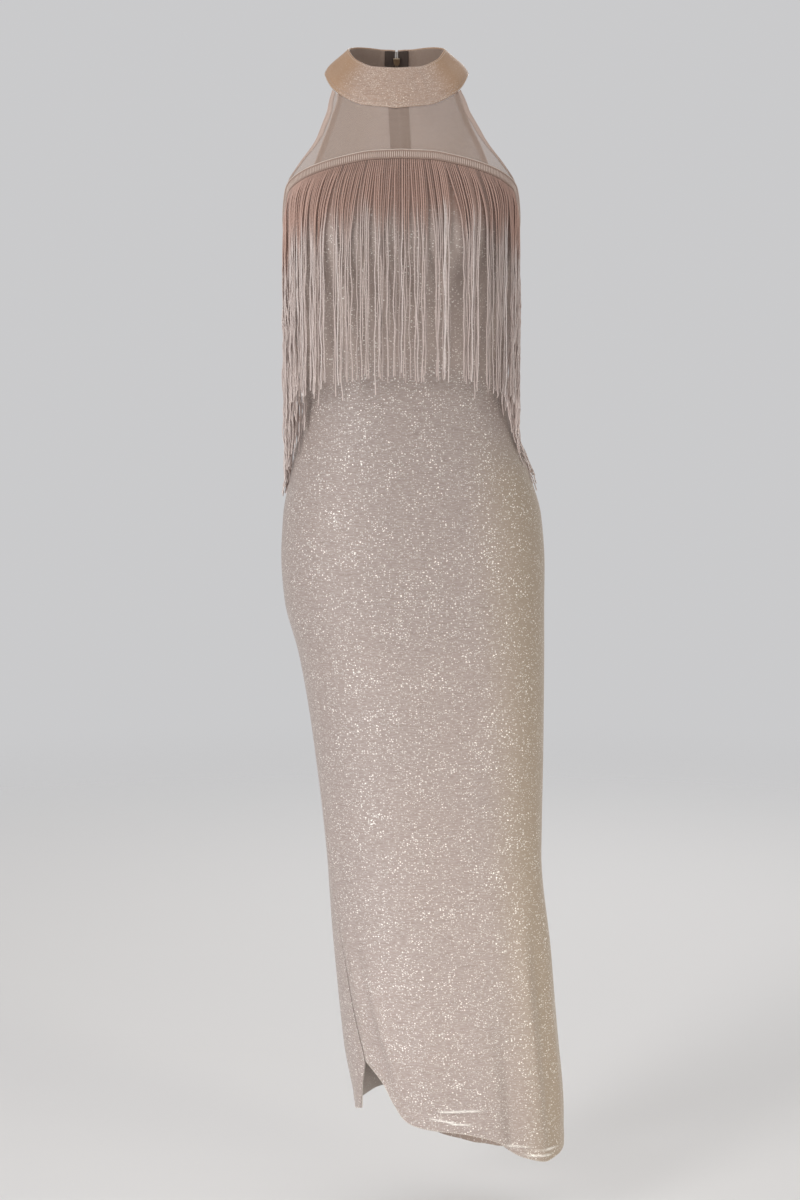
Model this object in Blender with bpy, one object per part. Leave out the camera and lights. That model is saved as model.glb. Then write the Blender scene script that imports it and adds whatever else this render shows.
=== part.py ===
# Halter-neck maxi dress in glitter knit, standing hollow in the shape it is worn in.
# Metres, +Z up, front towards -Y, right (+X) as seen from the front. The origin is inside
# the neck, where the wearer carries the dress. A place on the dress is named by its turn,
# in degrees from centre front (+90 at the right side, 180 at centre back), and by its
# drop below the origin.

from collections import namedtuple
from math import atan2, cos, degrees, exp, pi, radians, sin
from random import Random

import bmesh
import bpy
from mathutils import Matrix, Vector

MM = 0.001

# Walls, and the gap that parts neighbouring pieces
KNIT = 1.2 * MM
MESH = 1.0 * MM
MESH_EDGE = 0.6 * MM
COLLAR_WALL = 2.4 * MM
SEAM = 0.3 * MM
COLLAR_GAP = 0.8 * MM

# Zip in the centre back: tape width, its lowest point, and the slot at the collar
TAPE_WIDTH = 13 * MM
TAPE_WALL = 1.0 * MM
ZIP_DROP = 0.50
COLLAR_SLOT = 3.0 * MM

# Zip slider and pull tab, in the slider's own frame: its bridge, the tunnel the tab hangs in,
# and the axis the tab turns on, out from the collar's face
SLIDER_SHARE = 0.3
SLIDER_CLEAR = 0.8 * MM
SLIDER_WIDTH = 8 * MM
SLIDER_DEPTH = 2.6 * MM
SLIDER_HEIGHT = 9 * MM
BRIDGE_WIDTH = 1.8 * MM
BRIDGE_HEIGHT = 6 * MM
BRIDGE_BAR = 1.0 * MM
TUNNEL = 2.4 * MM
TAB_AXIS = 2.2 * MM
TAB_WIDTH = 7 * MM
TAB_LENGTH = 20 * MM
TAB_WALL = 1.2 * MM
TAB_BAR = 1.4 * MM
WINDOW_WIDTH = 3.4 * MM
WINDOW_HEIGHT = 3.9 * MM

# Fringe trim: its header, and its strands with the share of the header that their width fills
HEADER_HEIGHT = 12 * MM
HEADER_WALL = 1.6 * MM
STRAND_LENGTH = 0.258
STRAND_SPREAD = 0.006
STRAY_SHARE = 0.12
STRAY_LENGTH = 0.030
STRAND_WIDTH = 2.2 * MM
STRAND_WALL = 1.5 * MM
STRAND_FILL = 0.72
STRAND_CLEAR = 3.2 * MM
FRONT_STRANDS = 90
BACK_STRANDS = 40
HEADER_STOP = 4 * MM
HEADER_LIFT = 0.3 * MM
HANG_STEPS = 24
# Shares of a strand's length where it may bend
FRONT_BENDS = (0.04, 0.17, 0.36, 0.62, 1.0)
BACK_BENDS = (0.05, 0.36, 0.7, 1.0)

# Skirt: the level where the slit starts, and how far it gapes lower down
SLIT_DROP = 1.03
SLIT_GAPE = 2.4 * MM
SLIT_CORNER = 1.212
SLIT_TIP = 1.283
RIGHT_SEAM = 92.0

ARMHOLE_HEM = 7 * MM

# The dress's sections: centre across, half width, depth to front and back, squareness
Section = namedtuple("Section", "drop centre half front back square")
SECTIONS = [
    Section(-0.020, 0.000, 0.088, 0.060, 0.0690, 2.2),
    Section(0.012, 0.003, 0.095, 0.074, 0.0770, 2.2),
    Section(0.036, 0.004, 0.111, 0.080, 0.0820, 2.2),
    Section(0.080, 0.006, 0.138, 0.094, 0.0880, 2.2),
    Section(0.120, 0.006, 0.1475, 0.107, 0.0930, 2.2),
    Section(0.160, 0.006, 0.146, 0.117, 0.0960, 2.2),
    Section(0.200, 0.006, 0.142, 0.119, 0.0970, 2.2),
    Section(0.260, 0.006, 0.138, 0.110, 0.0930, 2.2),
    Section(0.320, 0.0075, 0.1325, 0.096, 0.0850, 2.2),
    Section(0.380, 0.010, 0.1255, 0.088, 0.0780, 2.2),
    Section(0.430, 0.012, 0.135, 0.090, 0.0840, 2.2),
    Section(0.480, 0.017, 0.150, 0.095, 0.0970, 2.2),
    Section(0.530, 0.0195, 0.1615, 0.099, 0.1100, 2.2),
    Section(0.586, 0.0205, 0.165, 0.101, 0.1170, 2.2),
    Section(0.636, 0.0225, 0.163, 0.101, 0.1150, 2.2),
    Section(0.700, 0.031, 0.155, 0.099, 0.1070, 2.2),
    Section(0.765, 0.037, 0.149, 0.097, 0.0990, 2.2),
    Section(0.850, 0.0425, 0.143, 0.094, 0.0920, 2.2),
    Section(0.920, 0.046, 0.1385, 0.091, 0.0880, 2.2),
    Section(0.976, 0.0485, 0.136, 0.090, 0.0860, 2.2),
    Section(1.090, 0.059, 0.1385, 0.092, 0.0880, 2.1),
    Section(1.206, 0.070, 0.138, 0.095, 0.0920, 2.1),
    Section(1.295, 0.0815, 0.134, 0.096, 0.0940, 2.0),
    Section(1.380, 0.085, 0.130, 0.097, 0.0950, 2.0),
]

# Rounded forms that stand out of the sections: bust and seat
Form = namedtuple("Form", "turn drop across down rise")
FORMS = [
    Form(-36, 0.176, 24, 0.058, 0.0100),
    Form(36, 0.176, 24, 0.058, 0.0100),
    Form(-150, 0.600, 26, 0.085, 0.0090),
    Form(150, 0.600, 26, 0.085, 0.0090),
]

# Long soft folds of the skirt, fading in from start to full
Fold = namedtuple("Fold", "turn width start full rise")
FOLDS = [
    Fold(38, 9, 0.96, 1.22, -0.0065),
    Fold(58, 9, 0.94, 1.20, 0.0050),
    Fold(112, 9, 0.98, 1.22, -0.0045),
    Fold(146, 9, 0.90, 1.20, -0.0050),
    Fold(-158, 10, 0.95, 1.25, 0.0045),
    Fold(-128, 9, 0.95, 1.22, -0.0045),
]

# Top line of the knit panels, which the fringe header follows
TopLine = namedtuple("TopLine", "turn drop")
TOP_LINE = [
    TopLine(0, 0.0860),
    TopLine(20, 0.0875),
    TopLine(39, 0.0945),
    TopLine(55, 0.1045),
    TopLine(66, 0.1155),
    TopLine(72, 0.1250),
    TopLine(78, 0.1560),
    TopLine(84, 0.1870),
    TopLine(91, 0.2040),
    TopLine(104, 0.2110),
    TopLine(130, 0.2140),
    TopLine(180, 0.2160),
]
FRONT_CORNER = 72.0
BACK_CORNER = 104.0

# Armhole edges of the front and back yokes
Armhole = namedtuple("Armhole", "drop front back")
ARMHOLE = [
    Armhole(-0.008, 61.0, 120.5),
    Armhole(0.018, 60.5, 122.0),
    Armhole(0.040, 57.5, 122.5),
    Armhole(0.067, 57.5, 121.0),
    Armhole(0.103, 65.0, 118.0),
    Armhole(0.125, 72.0, 115.5),
    Armhole(0.160, 76.0, 111.0),
    Armhole(0.211, 80.0, 104.0),
]

# Collar, the same on both sides: height and reach of its top and lower edges
Collar = namedtuple("Collar", "turn top top_reach foot foot_reach")
COLLAR = [
    Collar(0, 0.0143, 0.0530, -0.0365, 0.0810),
    Collar(30, 0.0165, 0.0545, -0.0315, 0.0825),
    Collar(56, 0.0260, 0.0575, -0.0140, 0.0885),
    Collar(90, 0.0430, 0.0590, 0.0120, 0.0880),
    Collar(135, 0.0500, 0.0560, 0.0170, 0.0800),
    Collar(180, 0.0485, 0.0530, 0.0100, 0.0720),
]
# How far the collar bulges, twice as much at its sides, and how low
COLLAR_ROLL = 2.2 * MM
ROLL_LOW = 1.6

# Seam and slit on the left side: the turns of the front and back panels' edges
Slit = namedtuple("Slit", "drop front back")
SLIT = [
    Slit(0.200, -90.0, -90.0),
    Slit(0.550, -90.0, -90.0),
    Slit(0.850, -82.0, -82.0),
    Slit(1.014, -73.0, -73.0),
    Slit(1.062, -71.0, -71.0),
    Slit(1.120, -68.4, -68.4),
    Slit(1.181, -64.0, -64.0),
    Slit(1.212, -61.5, -61.5),
    Slit(1.250, -61.5, -68.0),
    Slit(1.283, -61.5, -73.6),
]

# Hem lines of the front panel and of the back panels (turns run on past 180)
Hem = namedtuple("Hem", "turn drop")
FRONT_HEM = [
    Hem(-61.5, 1.212),
    Hem(-54, 1.233),
    Hem(-46, 1.262),
    Hem(-40, 1.281),
    Hem(-30, 1.290),
    Hem(1, 1.297),
    Hem(25, 1.309),
    Hem(38, 1.326),
    Hem(46, 1.335),
    Hem(62, 1.3445),
    Hem(75, 1.3435),
    Hem(92, 1.339),
]
BACK_HEM = [
    Hem(92, 1.339),
    Hem(110, 1.352),
    Hem(130, 1.370),
    Hem(150, 1.377),
    Hem(165, 1.3765),
    Hem(180, 1.371),
    Hem(197, 1.3625),
    Hem(207, 1.341),
    Hem(222, 1.304),
    Hem(238, 1.2855),
    Hem(254, 1.2905),
    Hem(272, 1.292),
    Hem(286.4, 1.283),
]


def between(rows, place):
    """The row of a table at any place in its first column, by a smooth cubic without overshoot."""
    place = min(max(place, rows[0][0]), rows[-1][0])
    i = 0
    while i < len(rows) - 2 and place > rows[i + 1][0]:
        i += 1
    span = rows[i + 1][0] - rows[i][0]
    t = (place - rows[i][0]) / span
    values = [place]
    for column in range(1, len(rows[0])):
        start, end = rows[i][column], rows[i + 1][column]
        leave = slope(rows, i, column) * span
        arrive = slope(rows, i + 1, column) * span
        bend = (2 * t**3 - 3 * t**2 + 1) * start + (3 * t**2 - 2 * t**3) * end
        values.append(bend + (t**3 - 2 * t**2 + t) * leave + (t**3 - t**2) * arrive)
    return type(rows[0])(*values)


def slope(rows, i, column):
    """The slope at a row: the harmonic mean of its neighbours', or none at a peak."""
    rates = [
        (rows[j + 1][column] - rows[j][column]) / (rows[j + 1][0] - rows[j][0])
        for j in (i - 1, i)
        if 0 <= j < len(rows) - 1
    ]
    if len(rates) == 1:
        return rates[0]
    if rates[0] * rates[1] <= 0:
        return 0.0
    return 2 * rates[0] * rates[1] / (rates[0] + rates[1])


def mix(start, end, share):
    return start + (end - start) * share


def turn_between(turn, other):
    return (turn - other + 180) % 360 - 180


def skin(turn, drop):
    """A point of the dress's outer face below the collar."""
    row = between(SECTIONS, drop)
    side, ahead = sin(radians(turn)), cos(radians(turn))
    depth = row.front if ahead > 0 else row.back
    power = row.square
    reach = (abs(side / row.half) ** power + abs(ahead / depth) ** power) ** (-1 / power)
    for form in FORMS:
        across = turn_between(turn, form.turn) / form.across
        down = (drop - form.drop) / form.down
        reach += form.rise * exp(-(across**2) - down**2)
    for fold in FOLDS:
        across = turn_between(turn, fold.turn) / fold.width
        grown = min(max((drop - fold.start) / (fold.full - fold.start), 0), 1)
        reach += fold.rise * exp(-(across**2)) * grown**2 * (3 - 2 * grown)
    return Vector((row.centre + reach * side, -reach * ahead, -drop))


def collar_skin(turn, share):
    """A point of the collar's outer face, from its top edge (share 0) to its lower edge (1)."""
    row = between(COLLAR, abs(turn_between(turn, 0)))
    height = mix(row.top, row.foot, share)
    bulge = COLLAR_ROLL * sin(pi * max(share, 0) ** ROLL_LOW) * (1 + sin(radians(turn)) ** 2)
    reach = mix(row.top_reach, row.foot_reach, share) + bulge
    return Vector((reach * sin(radians(turn)), -reach * cos(radians(turn)), height))


def placed(surface, turn, down, step):
    """A surface's point and its outward normal."""
    across = surface(turn + 0.6, down) - surface(turn - 0.6, down)
    along = surface(turn, down + step) - surface(turn, down - step)
    return surface(turn, down), along.cross(across).normalized()


def on_skin(turn, drop):
    return placed(skin, turn, drop, 2 * MM)


def on_collar(turn, share):
    return placed(collar_skin, turn, share, 0.04)


def top_line(turn):
    return between(TOP_LINE, abs(turn_between(turn, 0))).drop


def level(turn, hem, share):
    """Drop at a share of the way from the top line (0) past the slit's start (1) to a hem (2)."""
    if share <= 1:
        return mix(top_line(turn), SLIT_DROP, share)
    return mix(SLIT_DROP, between(hem, turn).drop, share - 1)


def apart(turn, drop, gap):
    """The turn that half a gap takes up at this place."""
    point = skin(turn, drop)
    reach = Vector((point.x - between(SECTIONS, drop).centre, point.y)).length
    return degrees(gap / 2 / reach)


def material(name, colour, roughness, metallic=0.0, alpha=1.0):
    made = bpy.data.materials.new(name)
    made.use_nodes = True
    shader = made.node_tree.nodes["Principled BSDF"]
    shader.inputs["Base Color"].default_value = (*colour, 1)
    shader.inputs["Roughness"].default_value = roughness
    shader.inputs["Metallic"].default_value = metallic
    shader.inputs["Alpha"].default_value = alpha
    made.diffuse_color = (*colour, 1)
    return made


def add_object(name, form, look):
    """Turn a closed bmesh into a named object."""
    bmesh.ops.recalc_face_normals(form, faces=form.faces)
    mesh = bpy.data.meshes.new(name)
    form.to_mesh(mesh)
    form.free()
    mesh.materials.append(look)
    mesh.shade_smooth()
    mesh.set_sharp_from_angle(angle=radians(40))
    made = bpy.data.objects.new(name, mesh)
    bpy.context.scene.collection.objects.link(made)
    return made


def wall(name, grid, look, thickness, raised=None):
    """A cloth wall over a grid of placed points: outer face raised by column, plain inner face."""
    rows, columns = len(grid), len(grid[0])
    raised = raised or [0.0] * columns
    form = bmesh.new()
    outer = [
        [form.verts.new(point + normal * raised[c]) for c, (point, normal) in enumerate(row)]
        for row in grid
    ]
    inner = [[form.verts.new(point - normal * thickness) for point, normal in row] for row in grid]
    for r in range(rows - 1):
        for c in range(columns - 1):
            for side in (outer, inner):
                form.faces.new((side[r][c], side[r + 1][c], side[r + 1][c + 1], side[r][c + 1]))
    border = [(0, c) for c in range(columns)]
    border += [(r, columns - 1) for r in range(1, rows)]
    border += [(rows - 1, c) for c in range(columns - 2, -1, -1)]
    border += [(r, 0) for r in range(rows - 2, 0, -1)]
    for (r, c), (s, d) in zip(border, border[1:] + border[:1]):
        form.faces.new((outer[r][c], outer[s][d], inner[s][d], inner[r][c]))
    return add_object(name, form, look)


def panel_shares():
    """Rows of the knit panels: close together over the bust, wider apart down the skirt."""
    run = SLIT_DROP - top_line(0)
    bust = [HEADER_HEIGHT / run, 0.045, 0.075, 0.105, 0.135, 0.165, 0.20, 0.24, 0.285]
    skirt = [0.33 + 0.67 * i / 11 for i in range(12)]
    lower = [1 + i / 7 for i in range(1, 8)]
    return [0.0] + bust + skirt + lower


def front_shares():
    """Columns of the front panel: even between the armhole corners, closer beside them."""
    span = RIGHT_SEAM + 90
    left, right = (90 - FRONT_CORNER) / span, (90 + FRONT_CORNER) / span
    middle = [mix(left, right, c / 20) for c in range(21)]
    beside = [c / 4 for c in range(4)]
    return [mix(0, left, c) for c in beside] + middle + [mix(1, right, c) for c in beside[::-1]]


def front_panel(look):
    grid = []
    for share in panel_shares():
        seam_drop = mix(top_line(90), SLIT_DROP, share)
        if share > 1:
            seam_drop = mix(SLIT_DROP, SLIT_CORNER, share - 1)
        gap = mix(SEAM, SLIT_GAPE, min(max(share - 1, 0) * 2, 1))
        first = between(SLIT, seam_drop).front + apart(-80, seam_drop, gap)
        last = RIGHT_SEAM - apart(RIGHT_SEAM, seam_drop, SEAM)
        turns = [mix(first, last, across) for across in front_shares()]
        grid.append([on_skin(turn, level(turn, FRONT_HEM, share)) for turn in turns])
    wall("front_panel", grid, look, KNIT)


def back_turns(drop, edge, sign, columns):
    """Turns from a side edge to the zip's edge line and on to centre back."""
    middle = 180 * sign
    zip_line = middle - sign * apart(180, drop, 2 * TAPE_WIDTH)
    turns = [mix(edge, zip_line, c / (columns - 1)) for c in range(columns)]
    return turns + [middle - sign * apart(180, drop, SEAM)]


def back_panel_grid(sign):
    grid = []
    for share in panel_shares():
        seam_drop = mix(top_line(90), SLIT_DROP, share)
        if share > 1:
            seam_drop = mix(SLIT_DROP, SLIT_TIP, share - 1)
        if sign > 0:
            edge = RIGHT_SEAM + apart(RIGHT_SEAM, seam_drop, SEAM)
        else:
            gap = mix(SEAM, SLIT_GAPE, min(max(share - 1, 0) * 2, 1))
            edge = between(SLIT, seam_drop).back - apart(-80, seam_drop, gap)
        row = []
        for turn in back_turns(seam_drop, edge, sign, 11):
            row.append(on_skin(turn, level(turn % 360, BACK_HEM, share)))
        grid.append(row)
    return grid


def collar_foot(turn):
    """Where a yoke's top edge starts: just under the middle of the collar's lower edge."""
    point, normal = on_collar(turn, 1.0)
    down = (collar_skin(turn, 1.0) - collar_skin(turn, 0.9)).normalized()
    return point - normal * COLLAR_WALL / 3 + down * COLLAR_GAP


def yoke_grid(top_turns, foot_turns, shares):
    """Rows from the collar's lower edge to the top line, blended onto the collar's foot."""
    grid = []
    for r, share in enumerate(shares):
        row = []
        for top_turn, foot_turn in zip(top_turns, foot_turns[r]):
            start = collar_foot(top_turn)
            drop = mix(-start.z, top_line(foot_turn[1]) - SEAM, share)
            point, normal = on_skin(foot_turn[0], drop)
            shift = start - skin(top_turn, -start.z)
            row.append((point + shift * (1 - share) ** 2, normal))
        grid.append(row)
    return grid


def yoke_front(look):
    """Even columns between the armhole hems; the hems' own columns stand a little proud."""
    inner_columns = 12
    shares = [i / 8 for i in range(9)]
    corner_drop = top_line(FRONT_CORNER) - SEAM
    start_turn = ARMHOLE[1].front
    start_drop = -collar_foot(start_turn).z
    foot_rows = []
    for share in shares:
        drop = mix(start_drop, corner_drop, share)
        edge = between(ARMHOLE, drop).front
        hem = 2 * apart(edge, drop, ARMHOLE_HEM)
        hem_step = 2 * apart(edge, drop, 2 * MESH_EDGE)
        inside = [
            mix(hem + hem_step - edge, edge - hem - hem_step, c / inner_columns)
            for c in range(inner_columns + 1)
        ]
        turns = [-edge, hem - edge, *inside, edge - hem, edge]
        foot_rows.append([(turn, turn / edge * FRONT_CORNER) for turn in turns])
    top_turns = [turn / foot_rows[0][-1][0] * start_turn for turn, _ in foot_rows[0]]
    raised = [MESH_EDGE] * 2 + [0.0] * (inner_columns + 1) + [MESH_EDGE] * 2
    wall("yoke_front", yoke_grid(top_turns, foot_rows, shares), look, MESH, raised)


def back_yoke_grid(sign):
    inner_columns = 7
    shares = [i / 8 for i in range(9)]
    corner_drop = top_line(BACK_CORNER) - SEAM
    start_drop = -collar_foot(ARMHOLE[0].back).z
    foot_rows = []
    for share in shares:
        drop = mix(start_drop, corner_drop, share)
        edge = between(ARMHOLE, drop).back
        hem = 2 * apart(edge, drop, ARMHOLE_HEM)
        hem_step = 2 * apart(edge, drop, 2 * MESH_EDGE)
        inside = back_turns(drop, edge + hem + hem_step, 1, inner_columns)
        turns = [edge, edge + hem, *inside]
        to_corner = [mix(BACK_CORNER, 180, (turn - edge) / (180 - edge)) for turn in turns]
        foot_rows.append([(sign * a, sign * b) for a, b in zip(turns, to_corner)])
    first = foot_rows[0][0][0]
    centre = sign * 180
    span = centre - first
    top_turns = [
        mix(sign * ARMHOLE[0].back, centre, (turn - first) / span) for turn, _ in foot_rows[0]
    ]
    return yoke_grid(top_turns, foot_rows, shares)


def collar_grid():
    shares = [0.0, 0.25, 0.5, 0.75, 1.0]
    columns = 32
    grid = []
    for share in shares:
        reach = between(COLLAR, 180).top_reach
        slot = degrees(COLLAR_SLOT / 2 / reach)
        tape = slot + degrees(TAPE_WIDTH / reach)
        inside = [mix(tape - 180, 180 - tape, c / columns) for c in range(columns + 1)]
        grid.append([on_collar(turn, share) for turn in [slot - 180, *inside, 180 - slot]])
    return grid


def zip_tape(name, collar, yoke, panel, look, collar_columns):
    """A tape behind the centre-back edges of the collar, yoke and panel in turn, inside them."""
    rows = [([row[c] for c in collar_columns], COLLAR_WALL) for row in collar[:-1]]
    rows += [(row[:-3:-1], MESH) for row in yoke[1:-1]]
    rows += [(row[:-3:-1], KNIT) for row in panel if -row[-1][0].z < ZIP_DROP]
    grid = [
        [(point - normal * (cover + SEAM), normal) for point, normal in row] for row, cover in rows
    ]
    wall(name, grid, look, TAPE_WALL)


def pushed_out(spot, drop, clear):
    """How far a spot has to move outwards to stand clear of the dress at this drop."""
    centre = between(SECTIONS, drop).centre
    away = Vector((spot.x - centre, spot.y))
    turn = degrees(atan2(away.x, -away.y))
    surface = skin(turn, drop)
    return Vector((surface.x - centre, surface.y)).length + clear - away.length


def hang(turn, drop, length, shares):
    """A strand's line: down from its root, out over what it meets, and plumb where it is free."""
    out = Vector((sin(radians(turn)), -cos(radians(turn)), 0))
    root = skin(turn, drop)
    reached = [SEAM + HEADER_WALL / 2]
    for i in range(1, HANG_STEPS + 1):
        lower = drop + length * i / HANG_STEPS
        reach = reached[-1]
        for _ in range(2):
            reach += max(0, pushed_out(root + out * reach, lower, STRAND_CLEAR))
        reached.append(reach)
    points = []
    for share in shares:
        ahead = min(HANG_STEPS, round(share * HANG_STEPS) + 1)
        points.append(root + out * reached[ahead] + Vector((0, 0, -length * share)))
    return points, out


def header_path(first, last, count):
    """Turns along the top line, evenly spaced by their true length."""
    fine = 720
    turns = [mix(first, last, i / fine) for i in range(fine + 1)]
    points = [skin(turn, top_line(turn)) for turn in turns]
    run = [0.0]
    for start, end in zip(points, points[1:]):
        run.append(run[-1] + (end - start).length)
    path = []
    i = 0
    for k in range(count + 1):
        goal = run[-1] * k / count
        while i < fine - 1 and run[i + 1] < goal:
            i += 1
        path.append(mix(turns[i], turns[i + 1], (goal - run[i]) / (run[i + 1] - run[i])))
    return path


def header_foot(turn):
    """The header's lower edge, square across from its top edge at this turn."""
    drop = top_line(turn)
    along = skin(turn + 0.3, top_line(turn + 0.3)) - skin(turn - 0.3, top_line(turn - 0.3))
    reach = Vector((along.x, along.y)).length
    slant = along.z / along.length
    flat = reach / along.length
    radius = skin(turn, drop).to_2d().length
    return turn + degrees(slant * HEADER_HEIGHT / radius), drop + flat * HEADER_HEIGHT


def fringe(name, first, last, strands, shares, look, seed):
    """A header band on the panel's top edge, with a four-sided strand out of each stretch of it."""
    chance = Random(seed)
    path = header_path(first, last, strands)
    feet = [header_foot(turn) for turn in path]
    form = bmesh.new()
    sides = []
    for turn, (foot_turn, foot_drop) in zip(path, feet):
        top, top_normal = on_skin(turn, top_line(turn) + SEAM)
        foot, foot_normal = on_skin(foot_turn, foot_drop)
        lift = (SEAM + HEADER_LIFT, SEAM + HEADER_LIFT + HEADER_WALL)
        corners = [top + top_normal * lift[0], top + top_normal * lift[1]]
        corners += [foot + foot_normal * lift[1], foot + foot_normal * lift[0]]
        sides.append([form.verts.new(corner) for corner in corners])
    for near, far in zip(sides, sides[1:]):
        for a, b in ((0, 1), (1, 2), (3, 0)):
            form.faces.new((near[a], near[b], far[b], far[a]))
    form.faces.new(sides[0])
    form.faces.new(sides[-1])
    for k, (near, far) in enumerate(zip(sides, sides[1:])):
        add_strand(form, near, far, feet[k], feet[k + 1], shares, chance)
    add_object(name, form, look)


def add_strand(form, near, far, foot, next_foot, shares, chance):
    """A strand drawn down from the open foot between two of the header's sections."""
    turn, drop = mix(foot[0], next_foot[0], 0.5), mix(foot[1], next_foot[1], 0.5)
    length = STRAND_LENGTH + chance.uniform(-STRAND_SPREAD, STRAND_SPREAD)
    if chance.random() < STRAY_SHARE:
        length += chance.uniform(0.3, 1) * STRAY_LENGTH
    points, out = hang(turn, drop, length, shares)
    across = Vector((-out.y, out.x, 0))
    pitch = abs((far[2].co - near[2].co).dot(across))
    half_width = min(STRAND_WIDTH, STRAND_FILL * pitch) / 2
    ring = [near[2], far[2], far[3], near[3]]
    for point in points:
        lower = [
            form.verts.new(point + across * half_width * a + out * STRAND_WALL / 2 * b)
            for a, b in ((-1, 1), (1, 1), (1, -1), (-1, -1))
        ]
        for a in range(4):
            b = (a + 1) % 4
            form.faces.new((ring[a], lower[a], lower[b], ring[b]))
        ring = lower
    form.faces.new(ring)


def block(width, depth, height, middle=(0, 0, 0)):
    form = bmesh.new()
    size = Matrix.Diagonal((width, depth, height, 1))
    bmesh.ops.create_cube(form, size=1, matrix=Matrix.Translation(middle) @ size)
    return form


def combine(made, tool, operation):
    """Join a helper to an object or cut it away; the helper itself isn't part of the dress."""
    tool.hide_render = True
    tool.display_type = "WIRE"
    change = made.modifiers.new(operation.title(), "BOOLEAN")
    change.operation = operation
    change.object = tool


def zip_slider(seat, metal):
    """The slider's body behind the tapes, with a bridge through the slot that holds the tab."""
    body_face = -(COLLAR_WALL + SEAM + TAPE_WALL + SLIDER_CLEAR)
    middle = (0, body_face - SLIDER_DEPTH / 2, 0)
    slider = add_object("zip_slider", block(SLIDER_WIDTH, SLIDER_DEPTH, SLIDER_HEIGHT, middle), metal)
    outer = TAB_AXIS + TUNNEL / 2 + BRIDGE_BAR
    depth = outer - body_face + SLIDER_DEPTH / 2
    bridge_middle = (0, outer - depth / 2, 0)
    bridge = add_object("bridge", block(BRIDGE_WIDTH, depth, BRIDGE_HEIGHT, bridge_middle), metal)
    tunnel = add_object("tunnel", block(2 * BRIDGE_WIDTH, TUNNEL, TUNNEL, (0, TAB_AXIS, 0)), metal)
    for made in (slider, bridge, tunnel):
        made.matrix_world = seat
    combine(slider, bridge, "UNION")
    combine(slider, tunnel, "DIFFERENCE")


def zip_pull_tab(seat, metal):
    """A flat tab with a round end, hung by its top bar in the slider's bridge."""
    outline = [(-TAB_WIDTH / 2, TAB_BAR / 2), (TAB_WIDTH / 2, TAB_BAR / 2)]
    bend = TAB_WIDTH / 2
    for i in range(9):
        angle = pi * i / 8
        outline.append((bend * cos(angle), bend - TAB_LENGTH - bend * sin(angle)))
    form = bmesh.new()
    face = form.faces.new([form.verts.new((x, -TAB_WALL / 2, z)) for x, z in outline])
    moved = bmesh.ops.extrude_face_region(form, geom=[face])["geom"]
    corners = [item for item in moved if isinstance(item, bmesh.types.BMVert)]
    bmesh.ops.translate(form, verts=corners, vec=(0, TAB_WALL, 0))
    tab = add_object("zip_pull_tab", form, metal)
    window_middle = (0, 0, -(TAB_BAR + WINDOW_HEIGHT) / 2)
    window = block(WINDOW_WIDTH, 2 * TAB_WALL, WINDOW_HEIGHT, window_middle)
    window = add_object("window", window, metal)
    hinge = bpy.data.objects.new("tab_hinge", None)
    bpy.context.scene.collection.objects.link(hinge)
    hinge.matrix_world = seat @ Matrix.Translation((0, TAB_AXIS, 0))
    for made in (tab, window):
        made.parent = hinge
    combine(tab, window, "DIFFERENCE")


def zip_seat():
    """The slider's place on the collar's centre back: Y straight out of it, Z up its slope."""
    point, out = on_collar(180, SLIDER_SHARE)
    point.x = 0
    out.x = 0
    out.normalize()
    side = Vector((1, 0, 0))
    axes = Matrix((side, out, side.cross(out))).transposed()
    return Matrix.Translation(point) @ axes.to_4x4()


def build_dress():
    glitter = material("glitter knit", (0.45, 0.37, 0.30), 0.45, 0.2)
    collar_knit = material("collar knit", (0.42, 0.29, 0.18), 0.45, 0.2)
    mesh = material("sheer mesh", (0.44, 0.33, 0.26), 0.7, 0.0, 0.6)
    yarn = material("fringe yarn", (0.47, 0.38, 0.34), 0.6)
    tape = material("zip tape", (0.25, 0.19, 0.16), 0.8)
    metal = material("zip metal", (0.55, 0.45, 0.33), 0.3, 1.0)

    collar = collar_grid()
    wall("collar", collar, collar_knit, COLLAR_WALL)
    yoke_front(mesh)
    front_panel(glitter)
    for name, sign, collar_columns in (("left", -1, (0, 1)), ("right", 1, (-1, -2))):
        yoke = back_yoke_grid(sign)
        panel = back_panel_grid(sign)
        raised = [MESH_EDGE] * 2 + [0.0] * (len(yoke[0]) - 2)
        wall(f"yoke_back_{name}", yoke, mesh, MESH, raised)
        wall(f"back_panel_{name}", panel, glitter, KNIT)
        zip_tape(f"zip_tape_{name}", collar, yoke, panel, tape, collar_columns)

    side_gap = apart(90, top_line(90), 2 * SEAM)
    zip_gap = apart(180, top_line(180), 2 * HEADER_STOP)
    right, left = RIGHT_SEAM, between(SLIT, 0).front
    fringe("fringe_front", left + side_gap, right - side_gap, FRONT_STRANDS, FRONT_BENDS, yarn, 3)
    fringe("fringe_back_right", right + side_gap, 180 - zip_gap, BACK_STRANDS, BACK_BENDS, yarn, 5)
    fringe("fringe_back_left", zip_gap - 180, left - side_gap, BACK_STRANDS, BACK_BENDS, yarn, 8)

    seat = zip_seat()
    zip_slider(seat, metal)
    zip_pull_tab(seat, metal)


for old in list(bpy.data.objects):
    bpy.data.objects.remove(old, do_unlink=True)
build_dress()
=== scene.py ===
# Looks of the halter-neck maxi dress: glitter knit, sheer mesh yoke, long fringe, zip.
# A place on the dress is a turn, in degrees from centre front (+90 on the right),
# and a drop, in metres below the origin. Sizes are in metres.

from math import cos, pi, radians, sin

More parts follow.
